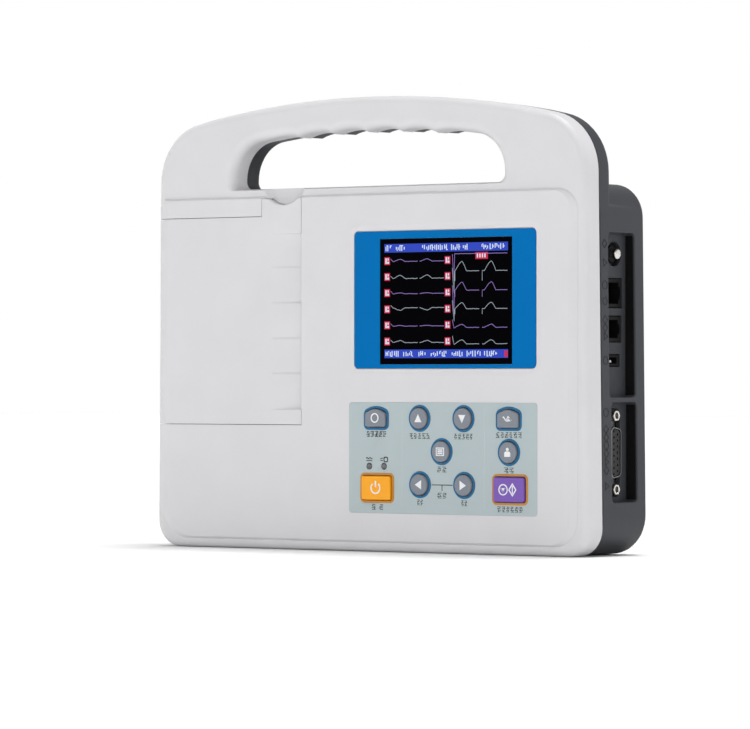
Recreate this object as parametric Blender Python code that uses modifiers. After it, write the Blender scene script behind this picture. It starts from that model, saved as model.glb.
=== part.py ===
"""A portable three-channel ECG machine, as an assembly of separate pieces.

Metres, +Z up. +X is to the right of someone who faces the keypad, and +Y goes to the back.
"Depth" is the distance behind the flat front face, which is at y = FRONT_Y. The machine
stands on its base at z = 0, with the origin under its middle.
"""

import math

import bmesh
import bpy
from mathutils import Matrix, Vector

# --- Driving dimensions, in metres -------------------------------------------------------

HEIGHT = 0.210
HALF_WIDTH = 0.1272  # at the base
SIDE_LEAN = 0.0138  # how far each side leans in, for each metre of height
BASE_CORNER = 0.018
TOP_CORNER = 0.020
TOP_ARC = 0.530  # radius of the arched top of the handle
SHOULDER_X = 0.1245

WALL = 0.0024
STEP = 0.0016  # the rim and the handle lie this far behind the front face
PARTING = 0.0120  # depth where the front shell meets the rear shell
REAR_START = 0.0123
HANDLE_BACK = 0.0235
REAR_FACE = 0.0484
BOX_TOP = 0.168
KEY_PROUD = 0.0014
FOOT_HEIGHT = 0.0026
GAP = 0.00035  # between pieces that meet

FRONT_Y = -(REAR_FACE + FOOT_HEIGHT - KEY_PROUD) / 2

OPENING_HALF = 0.078
OPENING_BOTTOM = 0.1687
OPENING_ARC = 0.5136  # radius of the handle's underside, about the centre of TOP_ARC
GRIP_PITCH = 0.0198  # from one finger ridge to the next
GRIP_RISE = 0.0016

DOOR_BOTTOM = 0.058
DOOR_TOP = 0.1557
DOOR_RIGHT = -0.0346
TAB_LEFT = -0.0584
TAB_TOP = 0.164
HINGE_X = -0.1233
HINGE_DEPTH = 0.0088
HINGE_BARREL = 0.0031
HINGE_PIN = 0.0008
RUNNING_HOLE = 0.0003  # radial clearance round a pin or a shaft

SCREW_PLACES = {
    "base_left": (-0.112, 0.012),
    "base_right": (0.112, 0.012),
    "top_left": (-0.112, 0.1615),
    "top_right": (0.112, 0.1615),
    "handle_left": (-0.101, 0.182),
    "handle_right": (0.101, 0.182),
}
SCREW_SEAT = 0.0180  # depth of the seat under each screw head
FOOT_PLACES = {
    "base_left": (-0.100, 0.026),
    "base_right": (0.100, 0.026),
    "top_left": (-0.100, 0.144),
    "top_right": (0.100, 0.144),
}
FOOT_RADIUS = 0.0070

DISPLAY_X = (-0.0036, 0.0990)
DISPLAY_Z = (0.08435, 0.14735)
WINDOW_X = (0.0113, 0.0860)
WINDOW_Z = (0.0864, 0.1442)
DISPLAY_RECESS = 0.0012

KEYPAD_X = (-0.0064, 0.1000)
KEYPAD_Z = (0.0178, 0.06875)
KEYPAD_RECESS = 0.0009
# Each key's middle (x, z), size (width, height) and top and bottom corner radii.
KEYS = {
    "key_mode": ((0.0093, 0.0616), (0.0116, 0.0082), (0.0034, 0.0014)),
    "key_up": ((0.0342, 0.0615), (0.0096, 0.0096), (0.0048, 0.0048)),
    "key_down": ((0.0590, 0.0615), (0.0096, 0.0096), (0.0048, 0.0048)),
    "key_back": ((0.0843, 0.0616), (0.0116, 0.0082), (0.0034, 0.0014)),
    "key_menu": ((0.0467, 0.0464), (0.0096, 0.0096), (0.0048, 0.0048)),
    "key_patient": ((0.0844, 0.0464), (0.0096, 0.0096), (0.0048, 0.0048)),
    "key_left": ((0.0344, 0.0312), (0.0096, 0.0096), (0.0048, 0.0048)),
    "key_right": ((0.0594, 0.0312), (0.0096, 0.0096), (0.0048, 0.0048)),
    "key_power": ((0.0098, 0.0294), (0.0166, 0.0110), (0.0012, 0.0012)),
    "key_start_stop": ((0.0850, 0.0296), (0.0170, 0.0112), (0.0012, 0.0012)),
}
LEDS = {"led_lens_mains": 0.0052, "led_lens_battery": 0.0137}
LED_Z = 0.0394
LED_RADIUS = 0.0013

POCKET_FLOOR = 0.1210
UPPER_POCKET = ((0.0192, 0.0400), (0.0712, 0.1453))  # depth range, z range
LOWER_POCKET = ((0.0206, 0.0406), (0.0239, 0.0690))
CONNECTOR_DEPTH = 0.0303
# Each socket's depth range and z range.
SOCKETS = {
    "network_jack": ((0.0242, 0.0362), (0.1118, 0.1247)),
    "serial_jack": ((0.0247, 0.0357), (0.0963, 0.1078)),
    "auxiliary_jack": ((0.0253, 0.0343), (0.0853, 0.0904)),
}
EARTH_PIN_Z = 0.1359
PATIENT_Z = 0.0463
JACKSCREW_PITCH = 0.0333
MAINS_DEPTH = (0.0200, 0.0406)
MAINS_Z = (0.0207, 0.0493)

BATTERY_X = (-0.0210, 0.0530)
BATTERY_Z = (0.0230, 0.0930)
SPEAKER = (0.076, 0.128)
SPEAKER_RADIUS = 0.0140

GEAR_MODULE = 0.0005
PLATEN_TEETH, IDLER_TEETH, PINION_TEETH = 20, 28, 12
PLATEN_X, PLATEN_DEPTH = -0.0413, 0.0090
PLATEN_RADIUS = 0.0050
GEAR_Z = (0.1542, 0.1576)
IDLER_BEARING = math.radians(105)  # direction from the platen to the idler, from +X to +Y
MOTOR_BEARING = math.radians(118)  # direction from the idler to the motor
ROLL_X, ROLL_DEPTH = -0.0925, 0.0262
ROLL_RADIUS = 0.0175
PAPER_Z = (0.0670, 0.1470)
FRAME_Z = (0.0604, 0.1534)

# --- Tools ---------------------------------------------------------------------------------


def fresh_collection(name):
    collection = bpy.data.collections.new(name)
    bpy.context.scene.collection.children.link(collection)
    return collection


def add(name, mesh, matrix, guide=False):
    """Link a mesh as a named piece, or as a hidden guide that cuts or is joined to one."""
    piece = bpy.data.objects.new(name, mesh)
    piece.matrix_world = matrix
    bpy.data.collections["guides" if guide else "ecg_machine"].objects.link(piece)
    if guide:
        piece.hide_render = True
        piece.display_type = "WIRE"
    return piece


def block(name, x, depth, z, guide=False):
    """Box between pairs of x, depth and z."""
    low = Vector((x[0], FRONT_Y + depth[0], z[0]))
    high = Vector((x[1], FRONT_Y + depth[1], z[1]))
    mesh = bpy.data.meshes.new(name)
    bm = bmesh.new()
    bmesh.ops.create_cube(bm, size=1.0, matrix=Matrix.Diagonal((*(high - low), 1.0)))
    bm.to_mesh(mesh)
    bm.free()
    return add(name, mesh, Matrix.Translation((low + high) / 2), guide)


# Turns local z to the axis; the outlines of a prism keep z up, or x to the right.
FACING = {
    "X": Matrix(((0, 0, 1, 0), (1, 0, 0, 0), (0, 1, 0, 0), (0, 0, 0, 1))),
    "Y": Matrix(((1, 0, 0, 0), (0, 0, -1, 0), (0, 1, 0, 0), (0, 0, 0, 1))),
    "Z": Matrix.Identity(4),
}


def cylinder(name, centre, radius, span, axis="Y", guide=False, sides=16):
    """Rod along an axis. centre gives its other two coordinates, in x, depth, z order."""
    middle = (span[0] + span[1]) / 2
    place = list(centre)
    place.insert("XYZ".index(axis), middle)
    place[1] += FRONT_Y
    mesh = bpy.data.meshes.new(name)
    bm = bmesh.new()
    bmesh.ops.create_cone(
        bm,
        cap_ends=True,
        segments=sides,
        radius1=radius,
        radius2=radius,
        depth=span[1] - span[0],
    )
    bm.to_mesh(mesh)
    bm.free()
    return add(name, mesh, Matrix.Translation(place) @ FACING[axis], guide)


def prism(name, loops, span, axis="Y", guide=False):
    """Flat outline carried along an axis. The first loop is the outside, the rest are holes.

    Loops hold (x, z) along Y, (y, z) along X and (x, y) along Z. A span along Y is a depth.
    """
    curve = bpy.data.curves.new(name, "CURVE")
    curve.dimensions = "2D"
    curve.fill_mode = "BOTH"
    curve.extrude = (span[1] - span[0]) / 2
    for loop in loops:
        spline = curve.splines.new("POLY")
        spline.points.add(len(loop) - 1)
        spline.use_cyclic_u = True
        for point, (u, v) in zip(spline.points, loop):
            point.co = (u, v, 0.0, 1.0)
    outline = bpy.data.objects.new(name + "_outline", curve)
    bpy.context.scene.collection.objects.link(outline)
    middle = Vector((0.0, 0.0, 0.0))
    middle["XYZ".index(axis)] = (span[0] + span[1]) / 2 + (FRONT_Y if axis == "Y" else 0.0)
    outline.matrix_world = Matrix.Translation(middle) @ FACING[axis]
    graph = bpy.context.evaluated_depsgraph_get()
    mesh = bpy.data.meshes.new_from_object(outline.evaluated_get(graph))
    mesh.name = name
    matrix = outline.matrix_world.copy()
    bpy.data.objects.remove(outline)
    bm = bmesh.new()
    bm.from_mesh(mesh)
    bmesh.ops.remove_doubles(bm, verts=bm.verts, dist=1e-7)
    bmesh.ops.dissolve_limit(bm, angle_limit=0.001, verts=[], edges=bm.edges)
    bm.to_mesh(mesh)
    bm.free()
    return add(name, mesh, matrix, guide)


def turned(name, profile, place, axis="Z", guide=False, steps=20):
    """Turned solid. profile holds (radius, height) from top to bottom; place is its zero height."""
    mesh = bpy.data.meshes.new(name)
    points = [(radius, 0.0, height) for radius, height in profile]
    mesh.from_pydata(points, [(i, i + 1) for i in range(len(points) - 1)], [])
    where = Vector(place) + Vector((0.0, FRONT_Y, 0.0))
    piece = add(name, mesh, Matrix.Translation(where) @ FACING[axis], guide)
    screw = piece.modifiers.new("turn", "SCREW")
    screw.axis = "Z"
    screw.steps = screw.render_steps = steps
    screw.use_merge_vertices = True
    screw.merge_threshold = 1e-6
    screw.use_smooth_shade = False
    return piece


def combine(piece, operation, others):
    for other in others:
        boolean = piece.modifiers.new(other.name, "BOOLEAN")
        boolean.operation = operation
        boolean.object = other
    return piece


def cut(piece, *cutters):
    return combine(piece, "DIFFERENCE", cutters)


def fuse(piece, *additions):
    return combine(piece, "UNION", additions)


def keep_inside(piece, *bounds):
    return combine(piece, "INTERSECT", bounds)


def bevel(piece, width, segments=2):
    modifier = piece.modifiers.new("edges", "BEVEL")
    modifier.width = width
    modifier.segments = segments
    modifier.limit_method = "ANGLE"
    modifier.angle_limit = math.radians(40)
    return piece


def round_end(piece, local_z, radius, segments=2):
    """Round the rim of a prism's end at this local height."""
    bm = bmesh.new()
    bm.from_mesh(piece.data)
    rim = [e for e in bm.edges if all(abs(v.co.z - local_z) < 1e-6 for v in e.verts)]
    bmesh.ops.bevel(
        bm, geom=rim, offset=radius, segments=segments, profile=0.5, affect="EDGES"
    )
    bm.to_mesh(piece.data)
    bm.free()
    return piece


def set_origin(piece, point):
    """Move the piece's origin to a point in x, depth, z, and leave its shape in place."""
    target = Vector(point) + Vector((0.0, FRONT_Y, 0.0))
    local = piece.matrix_world.inverted() @ target
    piece.data.transform(Matrix.Translation(-local))
    piece.matrix_world = piece.matrix_world @ Matrix.Translation(local)
    return piece


def finish(piece, colour, roughness, metallic=0.0):
    """Give the piece its own material and smooth its round surfaces."""
    material = bpy.data.materials.new(piece.name)
    material.use_nodes = True
    shader = material.node_tree.nodes["Principled BSDF"]
    shader.inputs["Base Color"].default_value = (*colour, 1.0)
    shader.inputs["Roughness"].default_value = roughness
    shader.inputs["Metallic"].default_value = metallic
    piece.data.materials.append(material)
    if piece.data.polygons:
        piece.data.shade_smooth()
        piece.data.set_sharp_from_angle(angle=math.radians(35))
    return piece


WHITE = (0.66, 0.65, 0.67)
DARK_GREY = (0.065, 0.068, 0.078)
BLACK = (0.012, 0.012, 0.014)
STEEL = (0.60, 0.60, 0.62)
BOARD_GREEN = (0.02, 0.16, 0.07)

# --- Outlines ------------------------------------------------------------------------------


def rounded(corners, step=math.radians(23)):
    """Closed outline through corners (u, v, radius), each turned into an arc."""
    outline = []
    for index, (u, v, radius) in enumerate(corners):
        here = Vector((u, v))
        back = (Vector(corners[index - 1][:2]) - here).normalized()
        ahead = (Vector(corners[(index + 1) % len(corners)][:2]) - here).normalized()
        half_angle = back.angle(ahead) / 2
        if radius <= 0.0:
            outline.append((u, v))
            continue
        centre = here + (back + ahead).normalized() * radius / math.sin(half_angle)
        spoke = here + back * radius / math.tan(half_angle) - centre
        sweep = math.pi - 2 * half_angle
        turn = -1.0 if back.x * ahead.y - back.y * ahead.x > 0 else 1.0
        pieces = max(2, math.ceil(sweep / step))
        for k in range(pieces + 1):
            point = centre + Matrix.Rotation(turn * sweep * k / pieces, 2) @ spoke
            outline.append((point.x, point.y))
    return outline


def rounded_box(u, v, radius, top_radius=None):
    """Rectangle outline with rounded corners, which may differ at the top."""
    top = radius if top_radius is None else top_radius
    corners = [(u[0], v[0], radius), (u[1], v[0], radius), (u[1], v[1], top), (u[0], v[1], top)]
    return rounded(corners)


def grown(pair, amount):
    return (pair[0] - amount, pair[1] + amount)


def side_x(z):
    return HALF_WIDTH - SIDE_LEAN * z


def arch_z(x, radius):
    """Height at x of an arc about the centre of the handle's arched top."""
    return HEIGHT - TOP_ARC + math.sqrt(radius**2 - x**2)


def shell_outline(inset=0.0):
    """Outside of the machine seen from the front, with its arched handle."""
    arc = TOP_ARC - inset
    base_x = HALF_WIDTH - inset
    shoulder = SHOULDER_X - inset
    corners = [(-base_x, inset, BASE_CORNER - inset), (base_x, inset, BASE_CORNER - inset)]
    corners.append((shoulder, arch_z(shoulder, arc), TOP_CORNER - inset))
    steps = 10
    for k in range(steps + 1):
        x = 0.090 * (1 - 2 * k / steps)
        corners.append((x, arch_z(x, arc), 0.0))
    corners.append((-shoulder, arch_z(shoulder, arc), TOP_CORNER - inset))
    return rounded(corners)


def box_outline(inset=0.0):
    """Outside of the deep rear box seen from the front."""
    top_x = side_x(BOX_TOP) - inset
    base_x = HALF_WIDTH - inset
    radius = BASE_CORNER - inset
    return rounded(
        [
            (-base_x, inset, radius),
            (base_x, inset, radius),
            (top_x, BOX_TOP - inset, radius),
            (-top_x, BOX_TOP - inset, radius),
        ]
    )


def opening_outline(grow=0.0, ridges=True):
    """Hand opening under the handle, with finger recesses between its ridges."""
    side = OPENING_HALF + grow
    arc = OPENING_ARC + grow
    rise = GRIP_RISE if ridges else 0.0
    corner_z = arch_z(side, arc) + rise
    corners = [(side, OPENING_BOTTOM - grow, 0.004 + grow), (side, corner_z, 0.016 + grow)]
    periods = 5
    per_period = 4 if ridges else 2
    steps = periods * per_period
    for k in range(steps + 1):
        x = GRIP_PITCH * periods * (0.5 - k / steps)
        recess = rise * abs(math.sin(math.pi * x / GRIP_PITCH))
        corners.append((x, arch_z(x, arc) + recess, 0.0))
    corners.append((-side, corner_z, 0.016 + grow))
    corners.append((-side, OPENING_BOTTOM - grow, 0.004 + grow))
    return rounded(corners)


def plateau_outline(inset=0.0):
    """Raised flat front: it reaches the left side, and stops short of the others."""
    left = side_x(0.08) - 0.0012 - inset
    right = 0.1175 - inset
    low = 0.0050 + inset
    high = TAB_TOP + 0.0004 - inset
    corners = [(-left, low, 0.014), (right, low, 0.011), (right, high, 0.008), (-left, high, 0.004)]
    return rounded(corners)


def door_outline(gap=0.0):
    """Paper door seen from the front, open at the left, where it wraps round the side."""
    left = -HALF_WIDTH - 0.010
    return [
        (left, DOOR_BOTTOM + gap),
        (DOOR_RIGHT - gap, DOOR_BOTTOM + gap),
        (DOOR_RIGHT - gap, TAB_TOP - gap),
        (TAB_LEFT + gap, TAB_TOP - gap),
        (TAB_LEFT + gap, DOOR_TOP - gap),
        (left, DOOR_TOP - gap),
    ]


def key_outline(name, grow=0.0):
    (x, z), (width, height), (top, bottom) = KEYS[name]
    u = grown((x - width / 2, x + width / 2), grow)
    v = grown((z - height / 2, z + height / 2), grow)
    return rounded_box(u, v, bottom + grow, top + grow)


def gear_outline(teeth, centre, phase, clearance=0.00008):
    """Spur gear outline with straight-sided teeth; one tooth points along phase."""
    pitch_radius = GEAR_MODULE * teeth / 2
    root = pitch_radius - 1.20 * GEAR_MODULE
    tip = pitch_radius + 0.80 * GEAR_MODULE
    pitch = 2 * math.pi / teeth
    narrow = clearance / pitch_radius
    outline = []
    for k in range(teeth):
        for side, radius, share in ((-1, root, 0.36), (-1, tip, 0.13), (1, tip, 0.13), (1, root, 0.36)):
            angle = phase + pitch * k + side * (pitch * share - narrow)
            outline.append((centre[0] + radius * math.cos(angle), centre[1] + radius * math.sin(angle)))
    return outline


def circle(centre, radius, sides=20):
    """Round outline, for a hole or a boss."""
    turn = 2 * math.pi / sides
    return [
        (centre[0] + radius * math.cos(turn * k), centre[1] + radius * math.sin(turn * k))
        for k in range(sides)
    ]


# --- Front shell and paper door ---------------------------------------------------------------


def front_blank(name, guide=False):
    """Hollow front half before it is split into the shell and the paper door."""
    blank = prism(name, [shell_outline()], (STEP, PARTING), guide=guide)
    half_depth = (PARTING - STEP) / 2
    round_end(blank, half_depth, 0.0036)
    plateau = prism(name + "_plateau", [plateau_outline()], (0.0, 0.006), guide=True)
    round_end(plateau, 0.003, 0.0014, segments=1)
    deep = prism(
        name + "_cavity",
        [shell_outline(WALL), opening_outline(WALL, ridges=False)],
        (STEP + WALL, PARTING + 0.001),
        guide=True,
    )
    shallow = prism(
        name + "_plateau_cavity", [plateau_outline(0.003)], (WALL, STEP + WALL + 0.001), guide=True
    )
    return cut(fuse(blank, plateau), deep, shallow)


def build_front_shell():
    shell = front_blank("front_shell")
    for place, (x, z) in SCREW_PLACES.items():
        fuse(shell, cylinder("front_boss_" + place, (x, z), 0.0040, (0.0032, 0.0155), guide=True))
    for place, span in {"low": (0.0520, 0.0578), "high": (0.1559, 0.1620)}.items():
        hinge_boss = cylinder(
            "hinge_boss_" + place, (HINGE_X, HINGE_DEPTH), HINGE_BARREL, span, "Z", guide=True
        )
        keep_inside(hinge_boss, bpy.data.objects["outer_bounds"])
        fuse(shell, hinge_boss)
    scoop_back = block("scoop_back", (-0.060, -0.033), (0.0052, 0.0072), (0.1590, 0.1680), guide=True)
    scoop = prism("scoop", [circle((-0.046, 0.1730), 0.0120, 28)], (-0.001, 0.0050), guide=True)
    door_hole = prism("door_hole", [door_outline()], (-0.002, PARTING + 0.002), guide=True)
    opening = prism("front_opening", [opening_outline()], (-0.001, PARTING + 0.001), guide=True)
    cut(shell, door_hole, opening)
    fuse(shell, scoop_back)
    cut(shell, scoop)
    tear_slot = block(
        "tear_slot", (DOOR_RIGHT - 0.001, -0.0338), (0.0010, 0.0070), (0.0666, 0.1494), guide=True
    )
    display_recess = prism(
        "display_recess",
        [rounded_box(grown(DISPLAY_X, GAP), grown(DISPLAY_Z, GAP), 0.0023)],
        (-0.001, DISPLAY_RECESS),
        guide=True,
    )
    display_hole = block(
        "display_hole", grown(WINDOW_X, -0.0016), (0.0, 0.004), grown(WINDOW_Z, -0.0016), guide=True
    )
    keypad_recess = prism(
        "keypad_recess",
        [rounded_box(grown(KEYPAD_X, GAP), grown(KEYPAD_Z, GAP), 0.0033)],
        (-0.001, KEYPAD_RECESS),
        guide=True,
    )
    cut(shell, tear_slot, display_recess, display_hole, keypad_recess)
    for name in KEYS:
        cut(shell, prism(name + "_hole", [key_outline(name, 0.0005)], (0.0, 0.004), guide=True))
    for name, x in LEDS.items():
        cut(shell, cylinder(name + "_hole", (x, LED_Z), LED_RADIUS + GAP, (0.0, 0.004), guide=True))
    for place, (x, z) in SCREW_PLACES.items():
        cut(shell, cylinder("pilot_" + place, (x, z), 0.00175, (0.0080, 0.0170), guide=True, sides=12))
    cut(shell, bpy.data.objects["hinge_bore"])
    return finish(shell, WHITE, 0.42)


def build_paper_door():
    door = front_blank("paper_door")
    keep_inside(door, prism("door_bounds", [door_outline(GAP)], (-0.002, HINGE_DEPTH), guide=True))
    z = (DOOR_BOTTOM + GAP + 0.0002, DOOR_TOP - GAP - 0.0002)
    barrel = cylinder("door_barrel", (HINGE_X, HINGE_DEPTH), HINGE_BARREL, z, "Z", guide=True)
    keep_inside(barrel, bpy.data.objects["outer_bounds"])
    chute_back = block("chute_back", (-0.0510, -0.03535), (0.0020, 0.0036), (0.0630, 0.1516), guide=True)
    fuse(door, barrel, chute_back)
    reach = (0.0020, 0.0128)
    span = (PLATEN_X - 0.0040, PLATEN_X + 0.0040)
    for place, z in {"low": (0.0628, 0.0652), "high": (0.1508, 0.1532)}.items():
        fuse(door, block("platen_arm_" + place, span, reach, z, guide=True))
    slope = [(-0.0535, 0.0), (-0.0340, 0.0023), (-0.0340, -0.0020), (-0.0535, -0.0020)]
    outline = [(x, FRONT_Y + depth) for x, depth in slope]
    chute = prism("paper_chute", [outline], (0.0652, 0.1502), "Z", guide=True)
    scoop = prism("door_scoop", [circle((-0.046, 0.1730), 0.0120, 28)], (-0.001, 0.0080), guide=True)
    shaft_bore = cylinder(
        "platen_bore", (PLATEN_X, PLATEN_DEPTH), 0.0020 + RUNNING_HOLE, (0.0600, 0.1545), "Z", guide=True
    )
    cut(door, chute, scoop, shaft_bore, bpy.data.objects["hinge_bore"])
    set_origin(door, (HINGE_X, HINGE_DEPTH, DOOR_BOTTOM))
    return finish(door, WHITE, 0.42)


def build_door_fittings():
    pin = cylinder("door_hinge_pin", (HINGE_X, HINGE_DEPTH), HINGE_PIN, (0.0525, 0.1615), "Z", sides=12)
    finish(pin, STEEL, 0.3, 1.0)
    bar = block("tear_bar", (-0.0345, -0.0341), (0.0013, 0.0066), (0.0670, 0.1490))
    finish(bar, STEEL, 0.25, 1.0)


def build_shared_guides():
    """Guides that several pieces use."""
    prism("outer_bounds", [shell_outline(0.0001)], (-0.002, 0.030), guide=True)
    cylinder(
        "hinge_bore", (HINGE_X, HINGE_DEPTH), HINGE_PIN + RUNNING_HOLE, (0.050, 0.164), "Z", guide=True
    )


# --- Rear shell ---------------------------------------------------------------------------------


def build_rear_shell():
    shell = prism("rear_shell", [box_outline()], (REAR_START, REAR_FACE))
    round_end(shell, -(REAR_FACE - REAR_START) / 2, 0.0025)
    handle = prism("rear_handle", [shell_outline(0.0002)], (REAR_START, HANDLE_BACK), guide=True)
    round_end(handle, -(HANDLE_BACK - REAR_START) / 2, 0.0025)
    handle_cavity = prism(
        "rear_handle_cavity",
        [shell_outline(WALL), opening_outline(WALL, ridges=False)],
        (0.0110, HANDLE_BACK - WALL),
        guide=True,
    )
    box_cavity = prism("rear_box_cavity", [box_outline(WALL)], (0.0110, REAR_FACE - WALL), guide=True)
    opening = prism("rear_opening", [opening_outline(0.0008)], (0.0110, 0.0300), guide=True)
    cut(fuse(shell, handle), handle_cavity, box_cavity, opening)
    add_rear_bosses(shell)
    add_battery_bay(shell)
    add_connector_pockets(shell)
    mains_hole = block("mains_hole", (-0.135, -0.112), MAINS_DEPTH, MAINS_Z, guide=True)
    cut(shell, mains_hole)
    for k in range(5):
        x = SPEAKER[0] + (k - 2) * 0.0045
        slot = rounded_box((x - 0.0011, x + 0.0011), grown((SPEAKER[1], SPEAKER[1]), 0.0090), 0.0009)
        cut(shell, prism(f"speaker_slot_{k}", [slot], (0.0440, 0.0500), guide=True))
    for place, (x, z) in FOOT_PLACES.items():
        radius = FOOT_RADIUS + GAP
        cut(shell, cylinder("foot_seat_" + place, (x, z), radius, (REAR_FACE - 0.0010, 0.052), guide=True))
    return finish(shell, DARK_GREY, 0.5)


def add_rear_bosses(shell):
    """Screw towers: a seat for each screw head at the bottom of a deep hole."""
    for place, (x, z) in SCREW_PLACES.items():
        back = HANDLE_BACK if place.startswith("handle") else REAR_FACE
        tower = cylinder("tower_" + place, (x, z), 0.0046, (0.0160, back - 0.0005), guide=True)
        head_hole = cylinder("head_hole_" + place, (x, z), 0.0032, (SCREW_SEAT, 0.0500), guide=True)
        shank_hole = cylinder("shank_hole_" + place, (x, z), 0.0018, (0.0150, 0.0200), guide=True, sides=12)
        cut(fuse(shell, tower), head_hole, shank_hole)


def add_battery_bay(shell):
    """Tray for the battery, open to the back, with a rebate for its cover."""
    wall = 0.0018
    tray = block("battery_tray", grown(BATTERY_X, wall), (0.0244, 0.0470), grown(BATTERY_Z, wall), guide=True)
    bay = block("battery_bay", BATTERY_X, (0.0260, 0.0520), BATTERY_Z, guide=True)
    rebate = prism(
        "battery_rebate",
        [rounded_box(grown(BATTERY_X, 0.0030), grown(BATTERY_Z, 0.0030), 0.0030)],
        (REAR_FACE - 0.0012, 0.0520),
        guide=True,
    )
    cut(fuse(shell, tray), bay, rebate)


def add_connector_pockets(shell):
    """Two recesses in the right side, with a hole in the floor for each connector."""
    floor_back = POCKET_FLOOR - 0.0022
    for place, (depth, z) in {"upper": UPPER_POCKET, "lower": LOWER_POCKET}.items():
        lining = block(
            place + "_lining", (floor_back, 0.1256), grown(depth, 0.002), grown(z, 0.002), guide=True
        )
        outline = rounded_box(tuple(FRONT_Y + d for d in depth), z, 0.0020)
        pocket = prism(place + "_pocket", [outline], (POCKET_FLOOR, 0.1350), "X", guide=True)
        cut(fuse(shell, lining), pocket)
    for name, (depth, z) in SOCKETS.items():
        hole = block(name + "_hole", (0.1150, 0.1230), grown(depth, GAP), grown(z, GAP), guide=True)
        cut(shell, hole)
    earth_hole = cylinder(
        "earth_hole", (CONNECTOR_DEPTH, EARTH_PIN_Z), 0.00555, (0.1150, 0.1230), "X", guide=True
    )
    depth = grown((CONNECTOR_DEPTH, CONNECTOR_DEPTH), 0.0047)
    outline = rounded_box(tuple(FRONT_Y + d for d in depth), grown((PATIENT_Z, PATIENT_Z), 0.0199), 0.0030)
    patient_hole = prism("patient_hole", [outline], (0.1150, 0.1230), "X", guide=True)
    cut(shell, earth_hole, patient_hole)


def build_screws_and_feet():
    for place, (x, z) in SCREW_PLACES.items():
        profile = [(0.0, 0.0020), (0.0022, 0.0018), (0.0028, 0.0010), (0.0028, 0.0)]
        profile += [(0.00145, 0.0), (0.00145, -0.0080), (0.0, -0.0088)]
        screw = turned("case_screw_" + place, profile, (x, SCREW_SEAT + 0.0003, z), "Y", steps=16)
        screw.matrix_world = screw.matrix_world @ Matrix.Rotation(math.pi, 4, "X")
        finish(screw, STEEL, 0.35, 1.0)
    for place, (x, z) in FOOT_PLACES.items():
        foot_span = (REAR_FACE - 0.0010 + GAP, REAR_FACE + FOOT_HEIGHT)
        foot = cylinder("foot_" + place, (x, z), FOOT_RADIUS, foot_span)
        finish(bevel(foot, 0.0008), (0.03, 0.03, 0.03), 0.8)


def build_battery():
    gap = 0.0006
    pack = block("battery_pack", grown(BATTERY_X, -gap), (0.0266, 0.0462), grown(BATTERY_Z, -gap))
    finish(bevel(pack, 0.0020), (0.05, 0.12, 0.30), 0.5)
    outline = rounded_box(grown(BATTERY_X, 0.0026), grown(BATTERY_Z, 0.0026), 0.0026)
    cover = prism("battery_cover", [outline], (REAR_FACE - 0.0012 + GAP, REAR_FACE))
    finish(cover, DARK_GREY, 0.5)


# --- Display and keypad -----------------------------------------------------------------------


def build_display():
    frame = rounded_box(DISPLAY_X, DISPLAY_Z, 0.0020)
    view = rounded_box(WINDOW_X, WINDOW_Z, 0.0004)
    bezel = prism("display_bezel", [frame, view], (0.0003, 0.0009))
    finish(bezel, (0.004, 0.155, 0.42), 0.3)
    pane = rounded_box(grown(WINDOW_X, -GAP), grown(WINDOW_Z, -GAP), 0.0004)
    finish(prism("display_window", [pane], (0.0003, 0.0009)), BLACK, 0.08)
    middle = ((WINDOW_X[0] + WINDOW_X[1]) / 2, (WINDOW_Z[0] + WINDOW_Z[1]) / 2)
    module_x = grown((middle[0], middle[0]), 0.0384)
    module_z = grown((middle[1], middle[1]), 0.0318)
    module = block("lcd_module", module_x, (0.0028, 0.0062), module_z)
    finish(bevel(module, 0.0005, 1), (0.25, 0.26, 0.27), 0.4, 0.6)


def build_keypad():
    outside = rounded_box(KEYPAD_X, KEYPAD_Z, 0.0030)
    holes = [key_outline(name, GAP) for name in KEYS]
    holes += [circle((x, LED_Z), LED_RADIUS + GAP, 16) for x in LEDS.values()]
    overlay = prism("keypad_overlay", [outside, *holes], (0.0001, 0.0006))
    finish(overlay, (0.44, 0.51, 0.51), 0.35)
    board = block("keypad_board", grown(KEYPAD_X, 0.001), (0.0065, 0.0081), grown(KEYPAD_Z, 0.001))
    for name, ((x, z), _, _) in KEYS.items():
        key = prism(name, [key_outline(name)], (-KEY_PROUD, 0.0036))
        round_end(key, (0.0036 + KEY_PROUD) / 2, 0.0005)
        flange = prism(name + "_flange", [key_outline(name, 0.0011)], (0.0030, 0.0038), guide=True)
        fuse(key, flange)
        set_origin(key, (x, 0.0, z))
        finish(key, KEY_COLOURS.get(name, (0.20, 0.23, 0.26)), 0.35)
        switch_x = grown((x, x), 0.0030)
        fuse(board, block(name + "_switch", switch_x, (0.0049, 0.0070), grown((z, z), 0.0030), guide=True))
    finish(board, BOARD_GREEN, 0.5)
    for name, x in LEDS.items():
        finish(cylinder(name, (x, LED_Z), LED_RADIUS, (0.0, 0.0061), sides=16), (0.35, 0.37, 0.37), 0.25)


KEY_COLOURS = {"key_power": (1.0, 0.38, 0.01), "key_start_stop": (0.19, 0.06, 0.46)}

# --- Electronics ------------------------------------------------------------------------------


def board_with_parts(name, board, parts):
    """Circuit board with its larger components joined to it, all as (x, depth, z) ranges."""
    piece = block(name, *board)
    for number, part in enumerate(parts):
        fuse(piece, block(f"{name}_part_{number}", *part, guide=True))
    return finish(piece, BOARD_GREEN, 0.5)


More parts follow.
